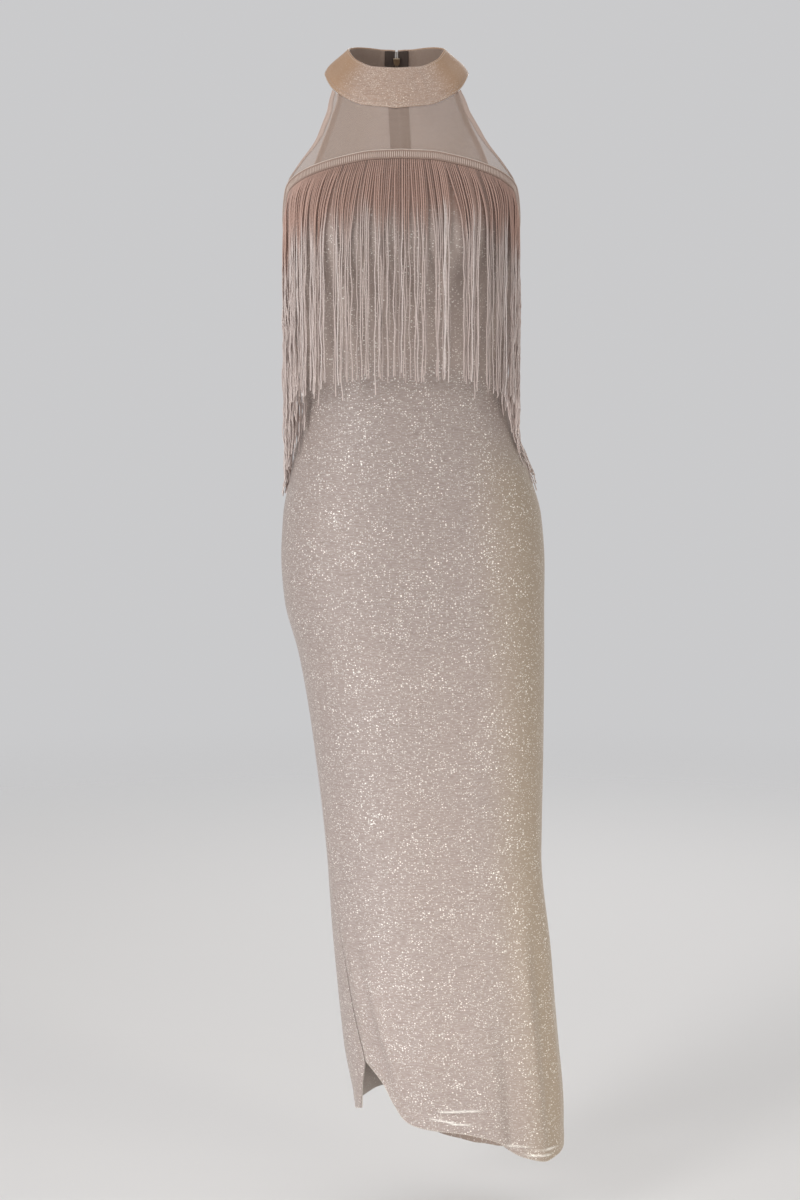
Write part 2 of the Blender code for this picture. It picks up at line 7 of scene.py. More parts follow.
import bmesh
import bpy
import numpy as np
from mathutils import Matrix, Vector


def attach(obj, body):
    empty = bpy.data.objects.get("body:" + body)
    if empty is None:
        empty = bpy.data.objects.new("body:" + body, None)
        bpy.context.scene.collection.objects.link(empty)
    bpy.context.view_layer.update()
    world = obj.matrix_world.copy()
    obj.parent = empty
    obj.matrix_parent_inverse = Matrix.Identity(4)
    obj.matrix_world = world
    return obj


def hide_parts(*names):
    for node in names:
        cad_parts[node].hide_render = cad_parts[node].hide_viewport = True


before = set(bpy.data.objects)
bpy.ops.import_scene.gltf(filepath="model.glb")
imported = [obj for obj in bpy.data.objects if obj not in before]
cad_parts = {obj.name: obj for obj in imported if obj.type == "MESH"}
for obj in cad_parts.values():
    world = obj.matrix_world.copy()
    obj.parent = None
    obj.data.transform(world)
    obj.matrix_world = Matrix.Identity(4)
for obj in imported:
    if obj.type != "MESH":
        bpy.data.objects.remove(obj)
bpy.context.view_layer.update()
body = "dress"
mm = 0.001

dress = {
    # drop, centre, half width, depth to front, depth to back, squareness
    "sections": [
        (-0.020, 0.000, 0.088, 0.060, 0.0690, 2.2),
        (0.012, 0.003, 0.095, 0.074, 0.0770, 2.2),
        (0.036, 0.004, 0.111, 0.080, 0.0820, 2.2),
        (0.080, 0.006, 0.138, 0.094, 0.0880, 2.2),
        (0.120, 0.006, 0.1475, 0.107, 0.0930, 2.2),
        (0.160, 0.006, 0.146, 0.117, 0.0960, 2.2),
        (0.200, 0.006, 0.142, 0.119, 0.0970, 2.2),
        (0.260, 0.006, 0.138, 0.110, 0.0930, 2.2),
        (0.320, 0.0075, 0.1325, 0.096, 0.0850, 2.2),
        (0.380, 0.010, 0.1255, 0.088, 0.0780, 2.2),
        (0.430, 0.012, 0.135, 0.090, 0.0840, 2.2),
        (0.480, 0.017, 0.150, 0.095, 0.0970, 2.2),
        (0.530, 0.0195, 0.1615, 0.099, 0.1100, 2.2),
        (0.586, 0.0205, 0.165, 0.101, 0.1170, 2.2),
        (0.636, 0.0225, 0.163, 0.101, 0.1150, 2.2),
        (0.700, 0.031, 0.155, 0.099, 0.1070, 2.2),
        (0.765, 0.037, 0.149, 0.097, 0.0990, 2.2),
        (0.850, 0.0425, 0.143, 0.094, 0.0920, 2.2),
        (0.920, 0.046, 0.1385, 0.091, 0.0880, 2.2),
        (0.976, 0.0485, 0.136, 0.090, 0.0860, 2.2),
        (1.090, 0.059, 0.1385, 0.092, 0.0880, 2.1),
        (1.206, 0.070, 0.138, 0.095, 0.0920, 2.1),
        (1.295, 0.0815, 0.134, 0.096, 0.0940, 2.0),
        (1.380, 0.085, 0.130, 0.097, 0.0950, 2.0),
    ],
    # turn, drop, width across in degrees, height down, rise
    "forms": [
        (-36, 0.176, 24, 0.058, 0.0100),
        (36, 0.176, 24, 0.058, 0.0100),
        (-150, 0.600, 26, 0.085, 0.0090),
        (150, 0.600, 26, 0.085, 0.0090),
    ],
    # turn, width, drop where it starts, drop where it is full, rise
    "folds": [
        (38, 9, 0.96, 1.22, -0.0065),
        (58, 9, 0.94, 1.20, 0.0050),
        (112, 9, 0.98, 1.22, -0.0045),
        (146, 9, 0.90, 1.20, -0.0050),
        (-158, 10, 0.95, 1.25, 0.0045),
        (-128, 9, 0.95, 1.22, -0.0045),
    ],
    # turn, drop of the knit panels' top line
    "topLine": [
        (0, 0.0860),
        (20, 0.0875),
        (39, 0.0945),
        (55, 0.1045),
        (66, 0.1155),
        (72, 0.1250),
        (78, 0.1560),
        (84, 0.1870),
        (91, 0.2040),
        (104, 0.2110),
        (130, 0.2140),
        (180, 0.2160),
    ],
    # drop, turn of the front yoke's armhole edge, turn of the back yoke's
    "armhole": [
        (-0.008, 61.0, 120.5),
        (0.018, 60.5, 122.0),
        (0.040, 57.5, 122.5),
        (0.067, 57.5, 121.0),
        (0.103, 65.0, 118.0),
        (0.125, 72.0, 115.5),
        (0.160, 76.0, 111.0),
        (0.211, 80.0, 104.0),
    ],
    # turn, height and reach of the collar's top edge, then of its lower edge
    "collar": [
        (0, 0.0143, 0.0530, -0.0365, 0.0810),
        (30, 0.0165, 0.0545, -0.0315, 0.0825),
        (56, 0.0260, 0.0575, -0.0140, 0.0885),
        (90, 0.0430, 0.0590, 0.0120, 0.0880),
        (135, 0.0500, 0.0560, 0.0170, 0.0800),
        (180, 0.0485, 0.0530, 0.0100, 0.0720),
    ],
    # drop, turn of the front panel's left edge, turn of the back panel's
    "slit": [
        (0.200, -90.0, -90.0),
        (0.550, -90.0, -90.0),
        (0.850, -82.0, -82.0),
        (1.014, -73.0, -73.0),
        (1.062, -71.0, -71.0),
        (1.120, -68.4, -68.4),
        (1.181, -64.0, -64.0),
        (1.212, -61.5, -61.5),
        (1.250, -61.5, -68.0),
        (1.283, -61.5, -73.6),
    ],
    "frontHem": [
        (-61.5, 1.212),
        (-54, 1.233),
        (-46.5, 1.2655),
        (-41.5, 1.2825),
        (-35, 1.2895),
        (-27, 1.2925),
        (1, 1.297),
        (25, 1.309),
        (38, 1.326),
        (46, 1.335),
        (62, 1.3445),
        (75, 1.3435),
        (92, 1.339),
    ],
    "backHem": [
        (92, 1.339),
        (110, 1.352),
        (130, 1.370),
        (150, 1.377),
        (165, 1.3765),
        (180, 1.371),
        (197, 1.3625),
        (207, 1.341),
        (222, 1.304),
        (238, 1.2855),
        (254, 1.2905),
        (272, 1.292),
        (286.4, 1.283),
    ],
    "seam": 0.3 * mm,
    "rightSeam": 92.0,
    "frontCorner": 72.0,
    "backCorner": 104.0,
    "slitDrop": 1.03,
    "slitGape": 2.4 * mm,
    "slitCorner": 1.212,
    "slitTip": 1.283,
    "girth": 0.125,  # mean radius, which turns degrees into metres of cloth
}

# Creases of the knit, each along a line: turn and drop at both ends, width, rise
creases = [
    (-67, 1.020, -58, 1.180, 0.009, 0.0030),
    (-63, 1.060, -49, 1.225, 0.008, -0.0040),
    (-50, 1.180, -49, 1.255, 0.009, -0.0026),
    (-56, 1.100, -43, 1.230, 0.012, 0.0030),
    (-80, 0.900, -71, 1.080, 0.012, 0.0018),
    (41, 0.860, 46, 1.060, 0.020, -0.0016),
    (72, 0.880, 78, 1.120, 0.018, 0.0022),
    (22, 1.150, 19, 1.285, 0.018, 0.0022),
    (-18, 1.160, -22, 1.270, 0.024, 0.0016),
    (44, 0.960, 29, 1.340, 0.018, 0.0026),
    (56, 0.960, 40, 1.340, 0.016, -0.0020),
    (55, 1.060, 49, 1.335, 0.011, 0.0026),
    (66, 1.060, 62, 1.345, 0.010, -0.0040),
    (76, 1.100, 74, 1.345, 0.009, 0.0024),
    (-62, 0.440, -88, 0.420, 0.010, -0.0012),
    (60, 0.448, 90, 0.428, 0.010, -0.0012),
    (-58, 0.470, -86, 0.455, 0.012, 0.0010),
    (64, 0.478, 88, 0.462, 0.012, 0.0010),
    (-30, 0.760, 12, 0.772, 0.030, 0.0008),
    (8, 0.900, 44, 0.888, 0.028, 0.0008),
    (104, 0.400, 160, 0.392, 0.010, -0.0016),
    (-104, 0.396, -158, 0.388, 0.010, -0.0016),
    (110, 0.424, 168, 0.418, 0.011, 0.0014),
    (-112, 0.421, -166, 0.414, 0.011, 0.0014),
    (118, 0.372, 150, 0.366, 0.009, -0.0010),
    (-120, 0.450, -152, 0.446, 0.012, -0.0012),
    (160, 0.690, 118, 0.712, 0.013, -0.0018),
    (-160, 0.694, -120, 0.716, 0.013, -0.0018),
    (152, 0.720, 126, 0.736, 0.012, 0.0012),
    (-134, 0.900, -140, 1.230, 0.020, 0.0026),
    (172, 0.930, 166, 1.330, 0.022, 0.0030),
    (128, 0.960, 130, 1.330, 0.018, 0.0026),
    (104, 1.060, 101, 1.320, 0.012, 0.0020),
]
# Small puckers of the hem, sharper than the creases: the same columns
puckers = [
    (-19.0, 1.2690, 20.0, 1.2665, 0.0013, 0.0013),
    (-24.0, 1.2775, -4.0, 1.2820, 0.0013, 0.0012),
    (-18.0, 1.2725, 12.0, 1.2750, 0.0026, -0.0011),
    (-10.0, 1.2830, 9.0, 1.2850, 0.0013, 0.0012),
    (31.0, 1.3150, 52.0, 1.3225, 0.0013, 0.0013),
    (38.0, 1.3215, 66.0, 1.3315, 0.0013, 0.0013),
    (50.0, 1.3245, 74.0, 1.3325, 0.0012, 0.0010),
    (44.0, 1.3300, 66.0, 1.3380, 0.0013, 0.0012),
    (39.0, 1.3205, 61.0, 1.3290, 0.0024, -0.0011),
    (118.0, 1.3480, 139.0, 1.3570, 0.0018, 0.0012),
    (121.0, 1.3540, 137.0, 1.3620, 0.0022, -0.0009),
    (166.0, 1.3590, 149.0, 1.3630, 0.0018, 0.0012),
]


def between(table, column, place):
    # a smooth run through one column of a table, without overshoot
    rows = np.array(table, dtype=float)
    x, y = rows[:, 0], rows[:, column]
    rates = np.diff(y) / np.diff(x)
    before, after = rates[:-1], rates[1:]
    same = before * after > 0
    slopes = np.concatenate((rates[:1], np.zeros(len(x) - 2), rates[-1:]))
    slopes[1:-1] = np.where(same, 2 * before * after / np.where(same, before + after, 1), 0)
    place = np.clip(place, x[0], x[-1])
    i = np.clip(np.searchsorted(x, place) - 1, 0, len(x) - 2)
    span = x[i + 1] - x[i]
    t = (place - x[i]) / span
    bend = (2 * t**3 - 3 * t**2 + 1) * y[i] + (3 * t**2 - 2 * t**3) * y[i + 1]
    bend += (t**3 - 2 * t**2 + t) * slopes[i] * span
    return bend + (t**3 - t**2) * slopes[i + 1] * span


def mix(start, end, share):
    return start + (end - start) * share


def smooth(low, high, value):
    t = np.clip((value - low) / (high - low), 0, 1)
    return t * t * (3 - 2 * t)


def apartTurn(turn, other):
    return (turn - other + 180) % 360 - 180


def creaseRise(turn, drop, table):
    # soft troughs and ridges along lines, fading out at their ends
    total = np.zeros(np.broadcast(turn, drop).shape)
    for turn0, drop0, turn1, drop1, width, rise in table:
        alongX = radians(turn1 - turn0) * dress["girth"]
        alongY = drop1 - drop0
        run = alongX**2 + alongY**2
        x = np.radians(apartTurn(turn, turn0)) * dress["girth"]
        y = drop - drop0
        t = (x * alongX + y * alongY) / run
        off = (x * alongY - y * alongX) ** 2 / run
        ends = smooth(-0.12, 0.3, t) * (1 - smooth(0.7, 1.12, t))
        total += rise * np.exp(-off / width**2) * ends
    return total


def skin(turn, drop):
    # points of the outer face of the dress below the collar
    turn, drop = np.broadcast_arrays(np.asarray(turn, float), np.asarray(drop, float))
    centre, half, front, back, square = (
        between(dress["sections"], column, drop) for column in range(1, 6)
    )
    side, ahead = np.sin(np.radians(turn)), np.cos(np.radians(turn))
    depth = np.where(ahead > 0, front, back)
    reach = (np.abs(side / half) ** square + np.abs(ahead / depth) ** square) ** (-1 / square)
    for at, low, wide, tall, rise in dress["forms"]:
        reach = reach + rise * np.exp(-((apartTurn(turn, at) / wide) ** 2) - ((drop - low) / tall) ** 2)
    for at, wide, start, full, rise in dress["folds"]:
        grown = smooth(start, full, drop)
        reach = reach + rise * np.exp(-((apartTurn(turn, at) / wide) ** 2)) * grown
    reach = reach + creaseRise(turn, drop, creases)
    return np.stack((centre + reach * side, -reach * ahead, -drop), axis=-1)


def unit(vectors):
    return vectors / np.linalg.norm(vectors, axis=-1, keepdims=True)


def onSkin(turn, drop):
    turn, drop = np.broadcast_arrays(np.asarray(turn, float), np.asarray(drop, float))
    across = skin(turn + 0.6, drop) - skin(turn - 0.6, drop)
    down = skin(turn, drop + 2 * mm) - skin(turn, drop - 2 * mm)
    return skin(turn, drop), unit(np.cross(down, across))


def topLine(turn):
    return between(dress["topLine"], 1, np.abs(apartTurn(turn, 0)))


def level(turn, hem, share):
    # drop at a share of the way from the top line (0) past the slit's start (1) to a hem (2)
    upper = mix(topLine(turn), dress["slitDrop"], np.minimum(share, 1))
    lower = mix(dress["slitDrop"], between(hem, 1, turn), np.maximum(share, 1) - 1)
    return np.where(share <= 1, upper, lower)


def gapTurn(turn, drop, gap):
    # the turn that half a gap takes up at this place
    point = skin(turn, drop)
    centre = between(dress["sections"], 1, drop)
    return np.degrees(gap / 2 / np.hypot(point[..., 0] - centre, point[..., 1]))


def gridNormals(points):
    down, across = np.gradient(points, axis=0), np.gradient(points, axis=1)
    return unit(np.cross(down, across))


def spread(length, step, edge, edgeStep):
    # shares from 0 to 1 along a length, closer together within the edges
    fine = np.arange(0, edge, edgeStep)
    middle = np.linspace(edge, length - edge, max(2, round((length - 2 * edge) / step) + 1))
    return np.concatenate((fine, middle, (length - fine)[::-1])) / length


def runAlong(points):
    # metres along a line of points
    return np.concatenate(([0], np.cumsum(np.linalg.norm(np.diff(points, axis=0), axis=1))))


def runAcross(points):
    # metres along each row of a grid of points
    steps = np.linalg.norm(np.diff(points, axis=1), axis=-1)
    return np.concatenate((np.zeros((len(points), 1)), np.cumsum(steps, axis=1)), axis=1)


def readOff(at, run, points):
    return np.stack([np.interp(at, run, column) for column in np.transpose(points)], axis=-1)


def newObject(name, mesh):
    piece = bpy.data.objects.new(name, mesh)
    bpy.context.scene.collection.objects.link(piece)
    return piece


def finishedObject(name, mesh, material, sharpFrom):
    mesh.materials.append(material)
    mesh.shade_smooth()
    mesh.set_sharp_from_angle(angle=radians(sharpFrom))
    return newObject(name, mesh)


def addMap(mesh, places):
    # a UV map in metres from one place per vertex
    loops = np.empty(len(mesh.loops), dtype=np.int32)
    mesh.loops.foreach_get("vertex_index", loops)
    layer = mesh.uv_layers.new(name="UVMap")
    layer.data.foreach_set("uv", np.asarray(places, np.float32)[loops].ravel())


def addField(mesh, name, values):
    layer = mesh.attributes.new(name, "FLOAT", "POINT")
    layer.data.foreach_set("value", np.asarray(values, np.float32).ravel())


def wallOf(name, outer, inner, places, material, fields=None, facing=0.0):
    # a closed cloth wall between two grids of points, with its edges joined; the last argument is how far the
    # inner side is painted pale, as painted light on its shaded inside
    rows, columns = outer.shape[:2]
    count = rows * columns
    index = np.arange(count).reshape(rows, columns)
    quads = np.stack((index[:-1, :-1], index[1:, :-1], index[1:, 1:], index[:-1, 1:]), axis=-1)
    quads = quads.reshape(-1, 4)
    border = np.concatenate((index[0, :-1], index[:-1, -1], index[-1, :0:-1], index[:0:-1, 0]))
    after = np.roll(border, -1)
    rim = np.stack((border, after, after + count, border + count), axis=-1)
    faces = np.concatenate((quads, quads[:, ::-1] + count, rim))
    mesh = bpy.data.meshes.new(name)
    points = np.concatenate((outer.reshape(-1, 3), inner.reshape(-1, 3)))
    mesh.from_pydata(points.tolist(), [], faces.tolist())
    addMap(mesh, np.tile(places.reshape(-1, 2), (2, 1)))
    for label, values in (fields or {}).items():
        addField(mesh, label, np.tile(np.broadcast_to(values, (rows, columns)).ravel(), 2))
    # painted light: how far each inner point is painted pale
    litInside = np.broadcast_to(facing, (rows, columns)).ravel()
    addField(mesh, "lining", np.concatenate((np.zeros(count), 1 - litInside)))
    addField(mesh, "facing", np.concatenate((np.zeros(count), litInside)))
    return finishedObject(name, mesh, material, 50)


def clothMap(points, drops):
    # metres across the cloth from its middle column, and metres down
    run = runAcross(points)
    middle = points.shape[1] // 2
    return np.stack((run - run[:, middle:middle + 1], drops), axis=-1)


def linesOf(name, lines, fields=None):
    # separate lines of points as one mesh of edges, with fields given per point
    points, edges = [], []
    for line in lines:
        start = len(points)
        points.extend(np.asarray(line).tolist())
        edges.extend((start + i, start + i + 1) for i in range(len(line) - 1))
    mesh = bpy.data.meshes.new(name)
    mesh.from_pydata(points, edges, [])
    for label, values in (fields or {}).items():
        addField(mesh, label, values)
    return newObject(name, mesh)


def pointsOf(name, places, along, outward):
    mesh = bpy.data.meshes.new(name)
    mesh.from_pydata(np.asarray(places).tolist(), [], [])
    for label, values in (("along", along), ("outward", outward)):
        layer = mesh.attributes.new(label, "FLOAT_VECTOR", "POINT")
        layer.data.foreach_set("vector", np.asarray(values, np.float32).ravel())
    return newObject(name, mesh)


class Wire:
    # a socket of a node tree that can stand in sums
    def __init__(self, tree, node, socket):
        self.tree, self.node, self.socket = tree, node, socket

    def __getitem__(self, name):
        return Wire(self.tree, self.node, self.node.outputs[name])

    def sum(self, operation, first, second):
        return addNode(self.tree, "ShaderNodeMath", {"operation": operation}, {0: first, 1: second})

    def __add__(self, other):
        return self.sum("ADD", self, other)

    def __radd__(self, other):
        return self.sum("ADD", other, self)

    def __sub__(self, other):
        return self.sum("SUBTRACT", self, other)

    def __rsub__(self, other):
        return self.sum("SUBTRACT", other, self)

    def __mul__(self, other):
        return self.sum("MULTIPLY", self, other)

    def __rmul__(self, other):
        return self.sum("MULTIPLY", other, self)

    def __truediv__(self, other):
        return self.sum("DIVIDE", self, other)

    def __rtruediv__(self, other):
        return self.sum("DIVIDE", other, self)

    def __pow__(self, other):
        return self.sum("POWER", self, other)


def addNode(tree, kind, settings=None, inputs=None, output=0):
    # a node with its settings made first, then the values or wires of its sockets
    node = tree.nodes.new(kind)
    for name, value in (settings or {}).items():
        if name == "stops":
            ramp = node.color_ramp.elements
            while len(ramp) < len(value):
                ramp.new(0.5)
            for element, (place, colour) in zip(ramp, value):
                element.position, element.color = place, (*colour, 1)
        else:
            setattr(node, name, value)
    feed(tree, node, inputs or {})
    return Wire(tree, node, node.outputs[output]) if node.outputs else node


def newFinish(name):
    # a material, with its tree and its shader
    material = bpy.data.materials.new(name)
    material.use_nodes = True
    tree = material.node_tree
    return material, tree, tree.nodes["Principled BSDF"]


def feed(tree, node, inputs):
    for name, value in inputs.items():
        if isinstance(value, Wire):
            tree.links.new(value.socket, node.inputs[name])
        else:
            node.inputs[name].default_value = value


def colourMix(tree, share, first, second):
    settings = {"data_type": "RGBA", "clamp_factor": True}
    colours = [c if isinstance(c, Wire) else (*c, 1) for c in (first, second)]
    return addNode(tree, "ShaderNodeMix", settings, {0: share, 6: colours[0], 7: colours[1]}, 2)


def stepUp(tree, value, low, high):
    # 0 below low and 1 above high, smooth between
    settings = {"interpolation_type": "SMOOTHSTEP", "clamp": True}
    return addNode(tree, "ShaderNodeMapRange", settings, {0: value, 1: low, 2: high})


def newRecipe(name, inputs):
    # a Geometry Nodes tree with named inputs; gives the tree and its input node
    tree = bpy.data.node_groups.new(name, "GeometryNodeTree")
    tree.interface.new_socket("Geometry", in_out="INPUT", socket_type="NodeSocketGeometry")
    for label, kind in inputs.items():
        tree.interface.new_socket(label, in_out="INPUT", socket_type="NodeSocket" + kind)
    tree.interface.new_socket("Geometry", in_out="OUTPUT", socket_type="NodeSocketGeometry")
    return tree, addNode(tree, "NodeGroupInput")


def endRecipe(tree, start, geometry):
    real = addNode(tree, "GeometryNodeRealizeInstances", None, {0: geometry})
    done = addNode(tree, "GeometryNodeSetMaterial", None, {"Geometry": real, "Material": start["Finish"]})
    addNode(tree, "NodeGroupOutput", None, {0: done})


def followRecipe(source, tree, values, name):
    # runs a recipe on an object and keeps the result as a plain mesh
    modifier = source.modifiers.new(tree.name, "NODES")
    modifier.node_group = tree
    for item in tree.interface.items_tree:
        if item.in_out == "INPUT" and item.name in values:
            modifier[item.identifier] = values[item.name]
    bpy.context.view_layer.update()
    evaluated = source.evaluated_get(bpy.context.evaluated_depsgraph_get())
    mesh = bpy.data.meshes.new_from_object(evaluated)
    mesh.name = name
    source.modifiers.clear()
    old = source.data
    bpy.data.objects.remove(source)
    bpy.data.meshes.remove(old)
    return newObject(name, mesh)


def yarnRecipe():
    # round yarn along lines: wavers more towards its free end, thins out a little
    inputs = {"Width": "Float", "Waver": "Float", "Steps": "Int", "Sides": "Int", "Finish": "Material"}
    tree, start = newRecipe("yarn along lines", inputs)
    curve = addNode(tree, "GeometryNodeMeshToCurve", None, {0: start["Geometry"]})
    curve = addNode(tree, "GeometryNodeResampleCurve", None, {"Curve": curve, "Count": start["Steps"]})
    spline = addNode(tree, "GeometryNodeSplineParameter")
    inputs = {"Scale": 40.0, "Detail": 1.0}
    drift = addNode(tree, "ShaderNodeTexNoise", {"noise_dimensions": "3D"}, inputs, "Color")
    inputs = {0: drift, 1: (0.5, 0.5, 0.5)}
    centred = addNode(tree, "ShaderNodeVectorMath", {"operation": "SUBTRACT"}, inputs)
    inputs = {0: centred, "Scale": start["Waver"] * spline["Factor"]}
    sway = addNode(tree, "ShaderNodeVectorMath", {"operation": "SCALE"}, inputs)
    curve = addNode(tree, "GeometryNodeSetPosition", None, {0: curve, "Offset": sway})
    thin = 1.0 - spline["Factor"] ** 6.0 * 0.35
    curve = addNode(tree, "GeometryNodeSetCurveRadius", None, {"Curve": curve, "Radius": thin})
    length = addNode(tree, "GeometryNodeCaptureAttribute", None, {0: curve})
    length.node.capture_items.new("FLOAT", "Length")
    tree.links.new(spline["Length"].socket, length.node.inputs["Length"])
    inputs = {"Resolution": start["Sides"], "Radius": start["Width"] / 2.0}
    ring = addNode(tree, "GeometryNodeCurvePrimitiveCircle", None, inputs)
    turn = addNode(tree, "GeometryNodeCaptureAttribute", None, {0: ring})
    turn.node.capture_items.new("FLOAT", "Turn")
    around = addNode(tree, "GeometryNodeSplineParameter")
    tree.links.new(around["Factor"].socket, turn.node.inputs["Turn"])
    inputs = {"Curve": length, "Profile Curve": turn, "Fill Caps": True}
    tube = addNode(tree, "GeometryNodeCurveToMesh", None, inputs)
    place = addNode(tree, "ShaderNodeCombineXYZ", None, {0: turn["Turn"], 1: length["Length"]})
    settings = {"data_type": "FLOAT2", "domain": "CORNER"}
    inputs = {0: tube, "Name": "UVMap", "Value": place}
    tube = addNode(tree, "GeometryNodeStoreNamedAttribute", settings, inputs)
    tube = addNode(tree, "GeometryNodeSetShadeSmooth", None, {0: tube})
    endRecipe(tree, start, tube)
    return tree


def stitchRecipe():
    # a small rounded stitch at every point, turned along the row and laid on the cloth
    inputs = {"Long": "Float", "Wide": "Float", "High": "Float", "Finish": "Material"}
    tree, start = newRecipe("stitches along rows", inputs)
    bead = addNode(tree, "GeometryNodeMeshUVSphere", None, {"Segments": 6, "Rings": 5, "Radius": 0.5})
    size = addNode(tree, "ShaderNodeCombineXYZ", None, {0: start["Long"], 1: start["Wide"], 2: start["High"]})
    bead = addNode(tree, "GeometryNodeTransform", None, {0: bead, "Scale": size})
    bead = addNode(tree, "GeometryNodeSetShadeSmooth", None, {0: bead})
    settings = {"data_type": "FLOAT_VECTOR"}
    along = addNode(tree, "GeometryNodeInputNamedAttribute", settings, {"Name": "along"})
    outward = addNode(tree, "GeometryNodeInputNamedAttribute", settings, {"Name": "outward"})
    turned = addNode(tree, "FunctionNodeAlignRotationToVector", {"axis": "X"}, {"Vector": along})
    settings = {"axis": "Z", "pivot_axis": "X"}
    inputs = {"Rotation": turned, "Vector": outward}
    turned = addNode(tree, "FunctionNodeAlignRotationToVector", settings, inputs)
    inputs = {"Points": start["Geometry"], "Instance": bead, "Rotation": turned}
    endRecipe(tree, start, addNode(tree, "GeometryNodeInstanceOnPoints", None, inputs))
    return tree


def fabricPlace(tree):
    return addNode(tree, "ShaderNodeTexCoord", None, None, "UV")


def piecePlace(tree):
    return addNode(tree, "ShaderNodeTexCoord", None, None, "Object")


def field(tree, name):
    return addNode(tree, "ShaderNodeAttribute", {"attribute_name": name}, None, "Fac")


def scaled(tree, place, x, y, z=1.0, shift=0.0):
    inputs = {"Vector": place, "Scale": (x, y, z), "Location": (shift, shift * 0.7, 0.0)}
    return addNode(tree, "ShaderNodeMapping", None, inputs)


def noise(tree, place, detail, scale=1.0):
    inputs = {"Vector": place, "Scale": scale, "Detail": detail}
    return addNode(tree, "ShaderNodeTexNoise", None, inputs)


def relief(tree, height, strength, depth):
    inputs = {"Strength": strength, "Distance": depth, "Height": height}
    return addNode(tree, "ShaderNodeBump", None, inputs)


def fleckLayer(tree, place, size, share, spot, shift):
    # short flecks of metallic thread, one in some of the cells, each as bright as it happens
    cells = scaled(tree, place, 0.8 / size, 1.0 / size, 1.0, shift)
    settings = {"voronoi_dimensions": "2D", "feature": "F1"}
    inputs = {"Vector": cells, "Scale": 1.0, "Randomness": 1.0}
    cell = addNode(tree, "ShaderNodeTexVoronoi", settings, inputs)
    lot = addNode(tree, "ShaderNodeSeparateColor", None, {0: cell["Color"]})
    lit = stepUp(tree, lot["Red"], 1.0 - share, 1.0)
    return (1.0 - stepUp(tree, cell["Distance"], spot * 0.55, spot)) * lit


def glitterFinish(name, look):
    # knit with a metallic thread: fine bright flecks over a soft ground of slubbed rows, with painted shade,
    # painted light and a painted golden sheen where fields on the cloth place them
    material, tree, shader = newFinish(name)
    place = fabricPlace(tree)
    flecks = [fleckLayer(tree, place, *layer) for layer in look["flecks"]]
    total = flecks[0]
    for layer in flecks[1:]:
        total = addNode(tree, "ShaderNodeMath", {"operation": "MAXIMUM"}, {0: total, 1: layer})
    patch = stepUp(tree, noise(tree, scaled(tree, place, 26, 34), 3.0), 0.38, 0.66)
    total = total * (look["thin"] + (1.15 - look["thin"]) * patch)
    rows = noise(tree, scaled(tree, place, 150, 760), 2.0)
    slub = noise(tree, scaled(tree, place, 42, 330), 2.0)
    cloud = noise(tree, piecePlace(tree), 2.0, 6.0)
    ground = colourMix(tree, stepUp(tree, cloud, 0.35, 0.65), look["ground"], look["groundWarm"])
    ground = colourMix(tree, stepUp(tree, rows, 0.32, 0.70), ground, look["rowLight"])
    ground = colourMix(tree, stepUp(tree, slub, 0.52, 0.74) * 0.5, ground, look["rowDark"])
    # painted sheen: the panels' right side is painted golden where light catches it; the collar's sides take
    # a golden tint
    side = field(tree, "side")
    ground = colourMix(tree, side * look["sideShare"], ground, look["sides"])
    lining = field(tree, "lining")
    ground = colourMix(tree, lining * look["liningShare"], ground, look["lining"])
    # painted light: the inside near the slit is painted pale
    ground = colourMix(tree, field(tree, "facing"), ground, look["facing"])
    # painted shade under the fringe's roots: browner ground, fewer flecks
    under = field(tree, "under")
    ground = colourMix(tree, under * look["underShare"], ground, look["under"])
    total = total * (1.0 - side * look["sideCalm"]) * (1.0 - lining * look["liningCalm"])
    # painted light below the roots, to offset the strands' shadow
    ground = colourMix(tree, field(tree, "veiled"), ground, look["veiled"])
    total = total * (1.0 - under * look["underCalm"])
    # painted highlight along the puckers' ridges
    ridge = field(tree, "ridge") * (0.55 + 0.45 * stepUp(tree, rows, 0.35, 0.6))
    total = addNode(tree, "ShaderNodeMath", {"operation": "MAXIMUM"}, {0: total, 1: ridge})
    colour = colourMix(tree, total, ground, look["fleck"])
    inputs = {"Vector": place, "Scale": 1 / look["rowPitch"] / 2.0, "Distortion": 1.5, "Detail": 1.0}
    wave = addNode(tree, "ShaderNodeTexWave", {"bands_direction": "Y"}, inputs)
    bump = relief(tree, rows * 0.6 + wave * 0.4 + total * 0.5, 0.35, 0.4 * mm)
    feed(tree, shader, {
        "Base Color": colour, "Roughness": look["rough"] - total * 0.25, "Metallic": total * 0.3,
        "Normal": bump, "Sheen Weight": 0.25, "Sheen Roughness": 0.4, "Sheen Tint": (1.0, 0.93, 0.86, 1)})
    return material


def meshFinish(name, look):
    # sheer mesh: see-through, denser where it is doubled at a hem
    material, tree, shader = newFinish(name)
    place = fabricPlace(tree)
    settings = {"voronoi_dimensions": "2D", "feature": "DISTANCE_TO_EDGE"}
    inputs = {"Vector": scaled(tree, place, 900, 700), "Scale": 1.0, "Randomness": 0.35}
    holes = addNode(tree, "ShaderNodeTexVoronoi", settings, inputs)
    threads = 1.0 - stepUp(tree, holes, 0.02, 0.25)
    doubled = field(tree, "doubled")
    cloud = stepUp(tree, noise(tree, scaled(tree, place, 16, 9), 3.0), 0.3, 0.7)
    colour = colourMix(tree, cloud, look["ground"], look["warm"])
    colour = colourMix(tree, doubled, colour, look["hem"])
    alpha = look["cover"] + threads * 0.10 + doubled * (look["doubledCover"] - look["cover"])
    bump = relief(tree, threads, 0.2, 0.2 * mm)
    feed(tree, shader, {"Base Color": colour, "Alpha": alpha, "Roughness": 0.6, "Normal": bump,
                        "Sheen Weight": 0.15})
    return material


